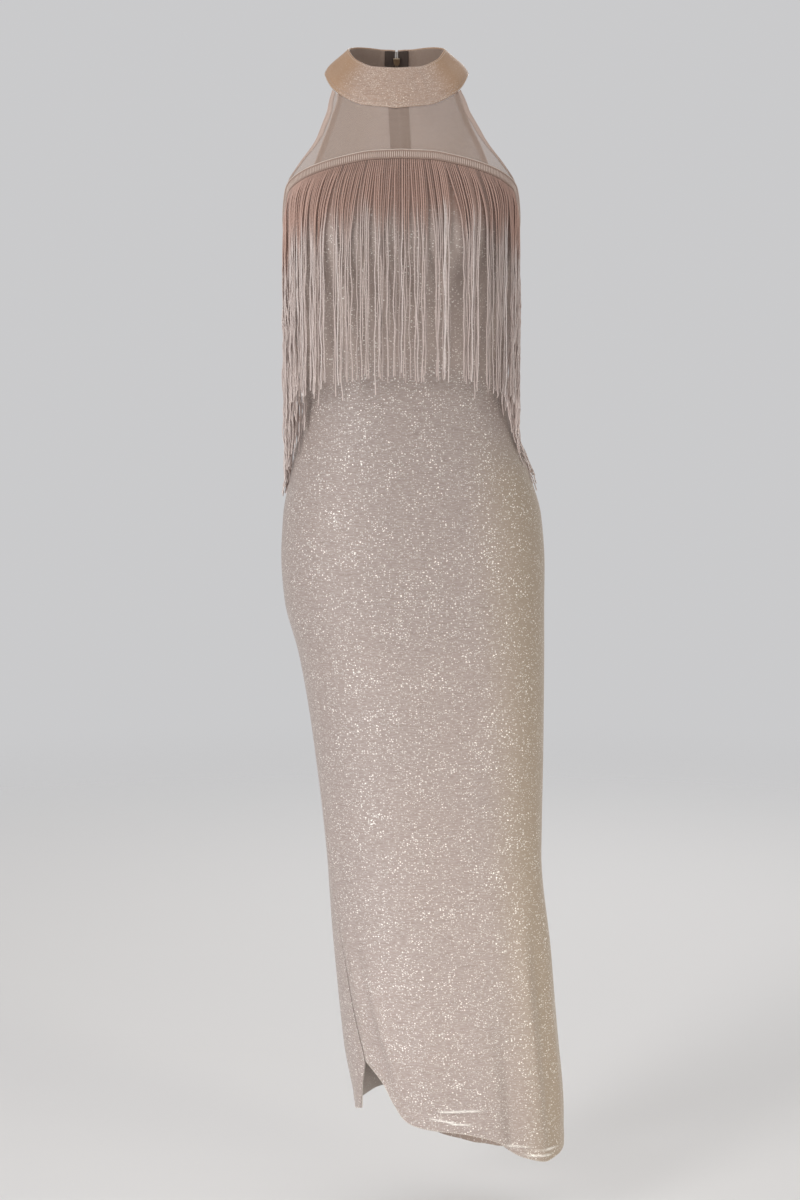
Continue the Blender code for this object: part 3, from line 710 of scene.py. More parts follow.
def yarnFinish(name, look):
    # twisted yarn, browner near its root as painted shade; each strand's tone is partly random and partly
    # painted shade, darker the deeper it lies, with the lightest painted light
    material, tree, shader = newFinish(name)
    place = addNode(tree, "ShaderNodeSeparateXYZ", None, {0: fabricPlace(tree)})
    phase = (place["Y"] / look["twist"] + place["X"] * 2.0) * (2 * pi)
    twist = addNode(tree, "ShaderNodeMath", {"operation": "SINE"}, {0: phase}) * 0.5 + 0.5
    drift = noise(tree, scaled(tree, piecePlace(tree), 46, 46, 5), 2.0)
    reach = place["Y"] + (drift - 0.5) * look["shadeWander"] + (field(tree, "tone") - 0.5) * 0.02
    down = stepUp(tree, reach, look["shadeFrom"], look["shadeTo"])
    # painted shade: browner near the root
    colour = colourMix(tree, down, look["root"], look["tip"])
    tone = field(tree, "tone")
    # painted light: lighter strands, mostly the front ones, below the roots
    colour = colourMix(tree, stepUp(tree, tone, 0.55, 1.0) * down * 0.8, colour, look["light"])
    # painted shade: darker strands, mostly the deep ones
    colour = colourMix(tree, (1.0 - stepUp(tree, tone, 0.0, 0.5)) * 0.75, colour, look["dark"])
    # painted shade in the twist's grooves
    colour = colourMix(tree, (1.0 - twist) * 0.22, colour, look["groove"])
    bump = relief(tree, twist, 0.5, 0.4 * mm)
    feed(tree, shader, {"Base Color": colour, "Roughness": 0.5, "Normal": bump, "Sheen Weight": 0.3})
    return material


def threadFinish(name, colour, rough=0.5, metallic=0.0):
    material, tree, shader = newFinish(name)
    lot = noise(tree, piecePlace(tree), 2.0, 420.0)
    dark = tuple(c * 0.7 for c in colour)
    feed(tree, shader, {"Base Color": colourMix(tree, lot, dark, colour), "Roughness": rough,
                        "Metallic": metallic})
    return material


def tapeFinish(name, colour):
    # herringbone woven tape
    material, tree, shader = newFinish(name)
    place = addNode(tree, "ShaderNodeSeparateXYZ", None, {0: fabricPlace(tree)})
    zigzag = addNode(tree, "ShaderNodeMath", {"operation": "PINGPONG"}, {0: place["X"], 1: 1.6 * mm})
    phase = (place["Y"] + zigzag) * (2 * pi / (1.1 * mm))
    weave = addNode(tree, "ShaderNodeMath", {"operation": "SINE"}, {0: phase})
    colour = colourMix(tree, weave * 0.5 + 0.5, tuple(c * 0.72 for c in colour), colour)
    bump = relief(tree, weave, 0.4, 0.2 * mm)
    feed(tree, shader, {"Base Color": colour, "Roughness": 0.75, "Normal": bump})
    return material


def metalFinish(name, colour):
    # plated metal, a little duller and darker where it has been handled
    material, tree, shader = newFinish(name)
    wear = noise(tree, piecePlace(tree), 3.0, 900.0)
    colour = colourMix(tree, wear, tuple(c * 0.8 for c in colour), colour)
    feed(tree, shader, {"Base Color": colour, "Metallic": 1.0, "Roughness": 0.22 + 0.2 * wear})
    return material


knitLook = {
    "ground": (0.316, 0.254, 0.229),
    "groundWarm": (0.334, 0.264, 0.234),
    "rowLight": (0.415, 0.350, 0.319),
    "rowDark": (0.256, 0.201, 0.176),
    "rowPitch": 1.4 * mm,
    "fleck": (1.0, 0.965, 0.905),
    # cell size, share that are lit, size of the spot in its cell, shift
    "flecks": [(1.7 * mm, 0.34, 0.36, 0.0), (2.9 * mm, 0.22, 0.34, 7.3)],
    "thin": 0.55,  # brightness where the flecks are thinly spread
    # painted sheen: the golden cast painted on the panels' right side
    "sides": (0.352, 0.276, 0.192),
    "sideShare": 0.75,
    "sideCalm": 0.0,
    "lining": (0.300, 0.228, 0.186),
    "liningShare": 1.0,
    "liningCalm": 0.3,
    # painted light: the pale colour of the inside near the slit
    "facing": (0.880, 0.790, 0.720),
    "under": (0.370, 0.232, 0.182),  # painted shade where the fringe's roots lie over it
    "veiled": (0.435, 0.352, 0.312),  # painted light: paler where the strands shade it, to offset their shadow
    "underShare": 0.85,
    "underCalm": 0.7,
    "rough": 0.55,
}
collarLook = dict(
    knitLook,
    ground=(0.430, 0.292, 0.225),
    groundWarm=(0.455, 0.312, 0.236),
    rowLight=(0.510, 0.380, 0.308),
    rowDark=(0.290, 0.190, 0.145),
    sides=(0.430, 0.255, 0.140),
    sideShare=0.85,
    sideCalm=0.8,
    # the inner face: the knit's wrong side, darker partly as painted shade inside the collar
    lining=(0.370, 0.280, 0.228),
    liningCalm=0.75,
    flecks=[(1.4 * mm, 0.50, 0.38, 3.1), (2.2 * mm, 0.26, 0.34, 1.9)],
    fleck=(0.95, 0.83, 0.70),
)
yokeLook = {
    "ground": (0.510, 0.390, 0.325),
    "warm": (0.480, 0.360, 0.285),
    "hem": (0.600, 0.455, 0.385),
    "cover": 0.38,
    "doubledCover": 0.86,
}
fringeLook = {
    # painted shade: the browner yarn near the roots
    "root": (0.590, 0.375, 0.300),
    "tip": (0.680, 0.570, 0.525),
    # painted light and painted shade of the strands, by a tone that follows their depth
    "light": (0.900, 0.815, 0.775),
    "dark": (0.130, 0.084, 0.068),
    # painted shade in the twist's grooves
    "groove": (0.300, 0.210, 0.175),
    "twist": 5 * mm,
    "shadeFrom": 0.052,
    "shadeTo": 0.100,
    "shadeWander": 0.085,
}

glitterKnit = glitterFinish("glitter knit", knitLook)
collarKnit = glitterFinish("collar knit", collarLook)
sheerMesh = meshFinish("sheer mesh", yokeLook)
fringeYarn = yarnFinish("fringe yarn", fringeLook)
braidYarn = threadFinish("braid yarn", (0.760, 0.620, 0.540))
brightYarn = threadFinish("bright yarn", (0.760, 0.640, 0.560))
# the band's own brown, darkened partly as painted shade between its ribs
braidGroundAndShade = threadFinish("braid ground and shade", (0.380, 0.262, 0.210), 0.7)
# painted shadow: a dark cord under the fringe's header band
shadowThread = threadFinish("painted shadow thread", (0.150, 0.092, 0.068), 0.7)
seamThread = threadFinish("seam thread", (0.560, 0.470, 0.400))
brightThread = threadFinish("bright thread", (0.900, 0.820, 0.710), 0.35, 0.3)
zipTape = tapeFinish("zip tape", (0.092, 0.066, 0.054))
zipCoil = threadFinish("zip coil", (0.300, 0.235, 0.190), 0.35)
zipMetal = metalFinish("zip metal", (0.620, 0.500, 0.350))
yarn = yarnRecipe()
stitch = stitchRecipe()
print("finishes and recipes made")

made = {}  # pieces by name


def stitchRow(points, outward, spacing):
    # evenly spaced places along a line, with the row's direction and the way out of the cloth
    points, outward = np.asarray(points), np.asarray(outward)
    run = runAlong(points)
    count = max(2, int(run[-1] / spacing))
    at = (np.arange(count) + 0.5) / count * run[-1]
    ahead, back = readOff(at + spacing / 4, run, points), readOff(at - spacing / 4, run, points)
    return readOff(at, run, points), unit(ahead - back), unit(readOff(at, run, outward))


def sew(name, rows, sizes, finish):
    # one piece of stitches from several rows, each (points, outward)
    parts = [stitchRow(points, outward, sizes["spacing"]) for points, outward in rows]
    place, along, out = (np.concatenate(column) for column in zip(*parts))
    source = pointsOf(name, place + out * sizes["lift"], along, out)
    values = {"Long": sizes["long"], "Wide": sizes["wide"], "High": sizes["high"], "Finish": finish}
    made[name] = followRecipe(source, stitch, values, name)


panels = {
    "wall": 1.2 * mm,
    "frontWide": 0.43,
    "backWide": 0.23,
    "topDrop": 0.09,
    "lower": 0.27,  # length from the slit's start to the hem
    "step": 4.4 * mm,
    "edge": 12 * mm,
    "edgeStep": 1.5 * mm,
    "fineHem": 42 * mm,  # height above the hem that has fine rows
    "hemStep": 1.3 * mm,
    "ridge": 1.1 * mm,  # painted highlight along a pucker's ridge, in the flecks' colour: a pucker this high has it fully
    "underFrom": 0.055,  # painted shade of the fringe's browner roots reaches down the knit to here
    "underTo": 0.115,
    "veilFrom": 0.235,
    "veilTo": 0.275,
    "hemFold": 17 * mm,  # height of the turned-up hem
    "hemRise": 0.7 * mm,
    "slitFold": 9 * mm,
    "slitTurn": -80,
    "slitPale": 150 * mm,  # painted light: the inside is painted paler this near to the slit
    "foldEnd": 2 * mm,  # a turned-up edge thins out over this
    "sewnIn": 1.5 * mm,  # how far inside a fold's end its seam runs
    # painted sheen: the knit is painted golden to the right, where light catches it: between these turns,
    # fading behind, below these drops
    "golden": (34, 70),
    "goldenFade": (94, 140),
    "goldenDrops": (0.40, 0.50),
    "grooveWidth": 1.3 * mm,
    "groove": -0.5 * mm,
    "seamRoll": 1.8 * mm,
    "seamDip": -0.7 * mm,
}


def panelRows(length):
    # shares 0 to 2: from the top line to the slit's start, then to the hem, finer near it
    upper = np.linspace(0, 1, round((dress["slitDrop"] - panels["topDrop"]) / panels["step"]))
    fine = np.arange(panels["fineHem"], -panels["hemStep"] / 2, -panels["hemStep"]) / length
    count = round((length - panels["fineHem"]) / panels["step"])
    return np.concatenate((upper, np.linspace(1, 2 - fine[0], count + 1)[1:-1], 2 - fine))


def foldRise(distance, fold, grow):
    # a turned-up edge: thicker within the fold, with a sewn groove at its end
    within = 1 - smooth(fold, fold + panels["foldEnd"], distance)
    groove = np.exp(-(((distance - fold + panels["sewnIn"]) / panels["grooveWidth"]) ** 2))
    return grow * (panels["hemRise"] * within + panels["groove"] * groove)


def seamSink(distance):
    return panels["seamDip"] * np.exp(-((distance / panels["seamRoll"]) ** 2))


def seamDrops(share, corner):
    # drops down a side seam, which ends at a corner of the hem
    drop = mix(topLine(90), dress["slitDrop"], np.minimum(share, 1))
    return np.where(share > 1, mix(dress["slitDrop"], corner, share - 1), drop)


def slitGap(share, drop):
    # the turn that half the slit's opening takes up
    gap = mix(dress["seam"], dress["slitGape"], np.clip((share - 1) * 2, 0, 1))
    return gapTurn(panels["slitTurn"], drop, gap)


def panelWall(name, turns, drops, hemDrops, slitSide, golden):
    # raises hems, sinks seams, adds the puckers, and gives the panel its wall
    points = skin(turns, drops)
    normals = gridNormals(points)
    run = runAcross(points)
    fromFirst, fromLast = run, run[:, -1:] - run
    slitFrom, otherFrom = (fromFirst, fromLast) if slitSide == 0 else (fromLast, fromFirst)
    lift = foldRise(hemDrops - drops, panels["hemFold"], 1.0)
    opened = smooth(dress["slitDrop"] - 0.01, dress["slitDrop"] + 0.03, drops)
    if slitSide is not None:
        lift += foldRise(slitFrom, panels["slitFold"], opened)
        lift += seamSink(slitFrom) * (1 - opened)
    else:
        lift += seamSink(slitFrom)
    lift += seamSink(otherFrom)
    puckered = creaseRise(turns, drops, puckers)
    lift += puckered
    # painted highlight along the puckers' ridges
    paintedHighlight = np.clip(puckered / panels["ridge"], 0, 1) ** 2
    outer = points + normals * lift[..., None]
    inner = points - normals * panels["wall"]
    fallen = drops - topLine(turns)
    # painted shade under the fringe's roots, near the top line
    under = 1 - smooth(panels["underFrom"], panels["underTo"], fallen)
    # painted light below the roots, where the strands shade the knit
    veiled = (1 - under) * (1 - smooth(panels["veilFrom"], panels["veilTo"], fallen))
    # painted light on the inner face near the opened slit
    facing = 0.0
    if slitSide is not None:
        facing = opened * (1 - smooth(panels["slitPale"] / 2, panels["slitPale"], slitFrom))
    made[name] = wallOf(name, outer, inner, clothMap(points, drops), glitterKnit,
                        {"side": golden, "ridge": paintedHighlight, "under": under, "veiled": veiled}, facing)
    return outer, gridNormals(outer)


def frontPanel():
    share = panelRows(panels["lower"])
    seamDrop = seamDrops(share, dress["slitCorner"])
    first = between(dress["slit"], 1, seamDrop) + slitGap(share, seamDrop)
    last = dress["rightSeam"] - gapTurn(dress["rightSeam"], seamDrop, dress["seam"])
    across = spread(panels["frontWide"], panels["step"], panels["edge"], panels["edgeStep"])
    turns = mix(first[:, None], last[:, None], across[None, :])
    drops = level(turns, dress["frontHem"], share[:, None])
    hem = between(dress["frontHem"], 1, turns)
    # painted sheen on the front panel's right side
    golden = smooth(*panels["golden"], turns) * smooth(*panels["goldenDrops"], drops)
    return turns, drops, panelWall("front_panel_knit", turns, drops, hem, 0, golden)


def backPanel(sign):
    share = panelRows(panels["lower"])
    seamDrop = seamDrops(share, dress["slitTip"])
    if sign > 0:
        edge = dress["rightSeam"] + gapTurn(dress["rightSeam"], seamDrop, dress["seam"])
    else:
        edge = between(dress["slit"], 2, seamDrop) - slitGap(share, seamDrop)
    middle = 180 * sign - sign * gapTurn(180, seamDrop, dress["seam"])
    across = spread(panels["backWide"], panels["step"], panels["edge"], panels["edgeStep"])
    if sign > 0:
        turns = mix(edge[:, None], middle[:, None], across[None, :])
    else:
        turns = mix(middle[:, None], edge[:, None], across[None, :])
    drops = level(turns % 360, dress["backHem"], share[:, None])
    hem = between(dress["backHem"], 1, turns % 360)
    name = "back_panel_right_knit" if sign > 0 else "back_panel_left_knit"
    # painted sheen carried on from the front onto the back right panel, fading behind
    golden = 0.0
    if sign > 0:
        golden = (1 - smooth(*panels["goldenFade"], turns)) * smooth(*panels["goldenDrops"], drops)
    return turns, drops, panelWall(name, turns, drops, hem, None if sign > 0 else 1, golden)


frontGrid = frontPanel()
backRight = backPanel(1)
backLeft = backPanel(-1)
print("knit panels made")

collar = {
    "wall": 2.4 * mm,
    "roll": 2.2 * mm,  # twice as much at the sides
    "rollLow": 1.6,  # how low it bulges
    "slot": 3.0 * mm,
    "slotReach": 0.053,
    "meanReach": 0.075,  # turns degrees into metres of cloth
    # the lower edge's turning, measured up from it: where it thins out, its seam, their heights
    "hemFrom": 6.2 * mm,
    "hemTo": 7.4 * mm,
    "hemRise": 0.35 * mm,
    "grooveAt": 6.6 * mm,
    "grooveWidth": 0.9 * mm,
    "groove": -0.35 * mm,
    "golden": (34, 62),  # turns over which the sides turn golden, and fade by half behind
    "goldenFade": (120, 160),
    "rows": 26,
    "columns": 190,
    "edgeRound": 5,
    # turn, share down, width across in degrees, share of height, rise
    "dents": [
        (-74, 0.45, 9, 0.30, -0.0022),
        (74, 0.40, 9, 0.30, -0.0022),
        (-58, 0.70, 8, 0.25, 0.0012),
        (59, 0.70, 8, 0.25, 0.0012),
        (22, 0.40, 4, 0.22, -0.0012),
        (27, 0.36, 3.5, 0.25, 0.0010),
        (-20, 0.30, 12, 0.20, 0.0006),
        (140, 0.30, 9, 0.50, -0.0014),
        (-145, 0.35, 8, 0.50, -0.0014),
        (158, 0.20, 4, 0.40, 0.0014),
        (-160, 0.22, 4, 0.40, 0.0014),
        (170, 0.15, 3, 0.35, -0.0012),
        (-171, 0.15, 3, 0.35, -0.0012),
    ],
}


def collarSkin(turn, share):
    turn, share = np.broadcast_arrays(np.asarray(turn, float), np.asarray(share, float))
    top, topReach, foot, footReach = (
        between(dress["collar"], column, np.abs(apartTurn(turn, 0))) for column in range(1, 5)
    )
    height = mix(top, foot, share)
    bulge = np.sin(pi * np.maximum(share, 0) ** collar["rollLow"])
    reach = mix(topReach, footReach, share)
    reach = reach + collar["roll"] * bulge * (1 + np.sin(np.radians(turn)) ** 2)
    for at, low, wide, tall, rise in collar["dents"]:
        reach = reach + rise * np.exp(-((apartTurn(turn, at) / wide) ** 2) - ((share - low) / tall) ** 2)
    side = np.radians(turn)
    return np.stack((reach * np.sin(side), -reach * np.cos(side), height), axis=-1)


def onCollar(turn, share):
    across = collarSkin(turn + 0.6, share) - collarSkin(turn - 0.6, share)
    down = collarSkin(turn, share + 0.04) - collarSkin(turn, share - 0.04)
    return collarSkin(turn, share), unit(np.cross(down, across))


def makeCollar():
    # a flat loop round each section: outer face, rounded lower edge, inner face, rounded top
    slot = np.degrees(collar["slot"] / 2 / collar["slotReach"])
    turns = np.linspace(slot - 180, 180 - slot, collar["columns"])
    shares = np.linspace(0, 1, collar["rows"])
    half = collar["wall"] / 2
    height = np.linalg.norm(collarSkin(turns, 1.0) - collarSkin(turns, 0.0), axis=-1)
    inset = half / height[:, None]
    within = inset + (1 - 2 * inset) * shares[None, :]
    point, normal = onCollar(turns[:, None], within)
    middle = point - normal * half
    down = unit(middle[:, -1] - middle[:, -2])
    up = unit(middle[:, 0] - middle[:, 1])
    fromFoot = (1 - within) * height[:, None]
    hemRise = collar["hemRise"] * (1 - smooth(collar["hemFrom"], collar["hemTo"], fromFoot))
    groove = collar["groove"] * np.exp(-(((fromFoot - collar["grooveAt"]) / collar["grooveWidth"]) ** 2))
    outer = middle + normal * (half + hemRise + groove)[..., None]
    angles = np.linspace(0, pi, collar["edgeRound"] + 2)[1:-1]
    lowerEdge = [middle[:, -1] + (normal[:, -1] * cos(a) + down * sin(a)) * half for a in angles]
    inner = (middle - normal * half)[:, ::-1]
    topEdge = [middle[:, 0] + (-normal[:, 0] * cos(a) + up * sin(a)) * half for a in angles]
    loop = np.concatenate((outer, np.stack(lowerEdge, 1), inner, np.stack(topEdge, 1)), axis=1)
    columns, around = loop.shape[:2]
    index = np.arange(columns * around).reshape(columns, around)
    after = np.roll(index, -1, axis=1)
    quads = np.stack((index[:-1], index[1:], after[1:], after[:-1]), axis=-1).reshape(-1, 4)
    mesh = bpy.data.meshes.new("collar_knit")
    faces = quads[:, ::-1].tolist()
    # the ends at centre back, closed in strips from the outer face to the inner one
    rows = collar["rows"]
    for end, flip in ((index[0], False), (index[-1], True)):
        innerRow = end[rows + len(angles):2 * rows + len(angles)][::-1]
        strips = [(end[r], end[r + 1], innerRow[r + 1], innerRow[r]) for r in range(rows - 1)]
        edge = list(end[rows - 1:rows + len(angles)]) + [innerRow[-1]]
        lid = [end[0], innerRow[0]] + list(end[2 * rows + len(angles):])
        for face in strips + [edge, lid]:
            faces.append([int(v) for v in (face[::-1] if flip else face)])
    mesh.from_pydata(loop.reshape(-1, 3).tolist(), [], faces)
    run = np.radians(turns)[:, None] * collar["meanReach"] + np.zeros(around)
    downRun = np.cumsum(np.linalg.norm(loop - np.roll(loop, 1, axis=1), axis=-1), axis=1)
    addMap(mesh, np.stack((run, downRun), axis=-1).reshape(-1, 2))
    turned = np.abs(turns)
    side = smooth(*collar["golden"], turned) * (1 - 0.5 * smooth(*collar["goldenFade"], turned))
    addField(mesh, "side", np.repeat(side, around))
    rowsIn = collar["rows"] + collar["edgeRound"]
    inside = np.zeros(around)
    inside[rowsIn:rowsIn + collar["rows"]] = 1
    addField(mesh, "lining", np.tile(inside, columns))
    made["collar_knit"] = finishedObject("collar_knit", mesh, collarKnit, 60)
    return turns, outer, fromFoot, normal


collarTurns, collarOuter, collarFromFoot, collarNormal = makeCollar()


def collarLine(fromEdge, top=False):
    # a row on the collar's outer face at a distance from its lower or top edge
    points, outs = [], []
    for c in range(4, len(collarTurns) - 4):
        distance = collarFromFoot[c] if not top else collarFromFoot[c].max() - collarFromFoot[c]
        order = np.argsort(distance)
        points.append(readOff(fromEdge, distance[order], collarOuter[c][order]))
        outs.append(collarNormal[c][len(order) // 2])
    return np.array(points), np.array(outs)


collarStitches = {
    "spacing": 3.4 * mm,
    "long": 2.4 * mm,
    "wide": 0.6 * mm,
    "high": 0.5 * mm,
    "lift": 0.1 * mm,
}
collarHemStitches = dict(collarStitches, spacing=2.6 * mm, long=1.8 * mm)
sew("collar_stitches", [collarLine(1.6 * mm), collarLine(1.4 * mm, True)], collarStitches, brightThread)
sew("collar_hem_stitches", [collarLine(6.4 * mm)], collarHemStitches, seamThread)
print("collar made")

yoke = {
    "wall": 0.8 * mm,
    "hem": 7 * mm,
    "hemRise": 0.6 * mm,
    "rows": 46,
    "frontWide": 0.24,
    "backWide": 0.11,
    "step": 3.0 * mm,
    "edge": 10 * mm,
    "edgeStep": 1.2 * mm,
    "roll": 1.2 * mm,
    "rollRise": 0.3 * mm,
    "sewnEdge": 1.6 * mm,  # the outer row of stitches, in from the edge
    "sewnIn": 1.2 * mm,  # the inner row, from the turned hem's end
    "collarGap": 0.8 * mm,
}


def collarFoot(turn):
    point, normal = onCollar(turn, np.ones_like(turn))
    down = unit(collarSkin(turn, 1.0) - collarSkin(turn, 0.9))
    return point - normal * collar["wall"] / 3 + down * yoke["collarGap"]


def makeYoke(name, startTurn, cornerTurn, column, sign):
    # rows from the collar's lower edge to the top line; sign 0 is the front, else a back half
    startDrop = -collarFoot(np.array([startTurn]))[0, 2]
    cornerDrop = topLine(cornerTurn) - dress["seam"]
    share = np.linspace(0, 1, yoke["rows"])
    drop = mix(startDrop, cornerDrop, share)
    edge = between(dress["armhole"], column, drop)
    if sign == 0:
        across = spread(yoke["frontWide"], yoke["step"], yoke["edge"], yoke["edgeStep"])
        turns = mix(-edge[:, None], edge[:, None], across)
        lineTurns = turns / edge[:, None] * cornerTurn
        topTurns = turns[0] / edge[0] * startTurn
    else:
        middle = 180 - gapTurn(180, drop, dress["seam"])
        across = spread(yoke["backWide"], yoke["step"], yoke["edge"], yoke["edgeStep"])
        turns = mix(edge[:, None], middle[:, None], across)
        lineTurns = mix(cornerTurn, 180, (turns - edge[:, None]) / (180 - edge[:, None]))
        topTurns = mix(startTurn, 180, (turns[0] - edge[0]) / (180 - edge[0]))
        turns, lineTurns, topTurns = sign * turns, sign * lineTurns, sign * topTurns
    start = collarFoot(topTurns)
    foot = topLine(lineTurns) - dress["seam"]
    drops = mix(-start[None, :, 2], foot, share[:, None])
    shift = start - skin(topTurns, -start[:, 2])
    points = skin(turns, drops) + shift[None] * ((1 - share) ** 2)[:, None, None]
    normals = gridNormals(points)
    if sign < 0:
        normals = -normals
    run = runAcross(points)
    fromEdge = np.minimum(run, run[:, -1:] - run) if sign == 0 else run
    doubled = 1 - smooth(yoke["hem"] - 0.3 * mm, yoke["hem"] + 0.5 * mm, fromEdge)
    roll = np.exp(-((fromEdge / yoke["roll"]) ** 2))
    lift = yoke["hemRise"] * doubled + yoke["rollRise"] * roll
    outer = points + normals * lift[..., None]
    inner = points - normals * yoke["wall"]
    if sign < 0:
        outer, inner, doubled, points, drops = (a[:, ::-1] for a in (outer, inner, doubled, points, drops))
        normals = normals[:, ::-1]
    made[name] = wallOf(name, outer, inner, clothMap(points, drops), sheerMesh, {"doubled": doubled})
    rows = []
    for distance in (yoke["sewnEdge"], yoke["hem"] - yoke["sewnIn"]):
        for away in ([run, run[:, -1:] - run] if sign == 0 else [run]):
            if sign < 0:
                away = away[:, ::-1]
            line, out = [], []
            for r in range(1, len(points) - 1):
                order = np.argsort(away[r])
                line.append(readOff(distance, away[r][order], outer[r][order]))
                out.append(normals[r][np.argmin(np.abs(away[r] - distance))])
            rows.append((np.array(line), np.array(out)))
    return rows


yokeRows = makeYoke("yoke_front_mesh", dress["armhole"][1][1], dress["frontCorner"], 1, 0)
backStart = dress["armhole"][0][2]
yokeRows += makeYoke("yoke_back_right_mesh", backStart, dress["backCorner"], 2, 1)
yokeRows += makeYoke("yoke_back_left_mesh", backStart, dress["backCorner"], 2, -1)
armholeStitches = {
    "spacing": 2.6 * mm,
    "long": 1.9 * mm,
    "wide": 0.5 * mm,
    "high": 0.4 * mm,
    "lift": 0.1 * mm,
}
sew("armhole_stitches", yokeRows, armholeStitches, seamThread)
print("yokes made")

fringe = {
    "header": 12 * mm,
    "headerWall": 1.2 * mm,
    "lift": 0.5 * mm,
    "bandStep": 2.2 * mm,
    "ribPitch": 2.4 * mm,
    "ribWidth": 1.4 * mm,
    "pitch": 2.2 * mm,
    "length": 0.258,
    "spread": 0.007,
    "strayShare": 0.05,
    "stray": 0.030,
    "leftLonger": 22 * mm,  # at the left side they hang this much lower
    "leftFrom": (58, 80),  # turns to the left over which that starts, and ends behind
    "leftTo": (100, 130),
    "beside": (48, 75),  # turns over which the strands beside the waist start to lean in
    "leanShare": 0.62,
    "lean": (0.25, 1.0),
    "width": 1.5 * mm,
    "clear": 2.2 * mm,
    "depth": 3.6 * mm,  # the strands lie over each other within this
    "steps": 34,
    "stop": 4 * mm,
    "sides": 5,
    "waver": 2.0 * mm,
    # bunches: fewest and most strands, least and most pull together
    "bunch": (7, 17, 0.14, 0.56),
    "tuft": (2, 6, 0.10, 0.75),
    # sway: greatest length of a wave, least length, how far it goes
    "sways": [(0.150, 0.090, 1.3 * mm), (0.060, 0.034, 0.7 * mm), (0.026, 0.016, 0.28 * mm)],
}


def headerPath(first, last, pitch):
    fine = np.linspace(first, last, 1441)
    points = skin(fine, topLine(fine))
    run = runAlong(points)
    count = round(run[-1] / pitch)
    return np.interp(np.linspace(0, run[-1], count + 1), run, fine)


def headerFoot(turn):
    # the header's lower edge, square across from its top edge at this turn
    drop = topLine(turn)
    along = skin(turn + 0.3, topLine(turn + 0.3)) - skin(turn - 0.3, topLine(turn - 0.3))
    length = np.linalg.norm(along, axis=-1)
    slant, flat = along[..., 2] / length, np.hypot(along[..., 0], along[..., 1]) / length
    place = skin(turn, drop)
    radius = np.hypot(place[..., 0], place[..., 1])
    return turn + np.degrees(slant * fringe["header"] / radius), drop + flat * fringe["header"]


def headerBand(name, path, lifts):
    # the woven band: a strip with a rolled edge; lifts are (share down, height)
    topPoint, topNormal = onSkin(path, topLine(path) + dress["seam"])
    footPoint, footNormal = onSkin(*headerFoot(path))
    shares = np.array([share for share, _ in lifts])
    heights = np.array([height for _, height in lifts])
    points = mix(topPoint[None], footPoint[None], shares[:, None, None])
    normals = unit(mix(topNormal[None], footNormal[None], shares[:, None, None]))
    outer = points + normals * heights[:, None, None]
    inner = points + normals * fringe["lift"]
    run = runAlong(topPoint)
    places = np.stack(np.broadcast_arrays(run[None], shares[:, None] * fringe["header"]), axis=-1)
    made[name] = wallOf(name, outer, inner, places, braidGroundAndShade)
    return points, normals


def bunches(count, chance, fewest, most, least, greatest):
    # neighbours that cling together: how far, in strands, each is drawn to its bunch's middle
    order = np.arange(count, dtype=float)
    pull = np.zeros(count)
    first = 0
    while first < count:
        last = min(count, first + int(chance.integers(fewest, most)))
        middle = (first + last - 1) / 2 + chance.uniform(-0.2, 0.2) * (last - first)
        pull[first:last] = (middle - order[first:last]) * chance.uniform(least, greatest)
        first = last
    return pull


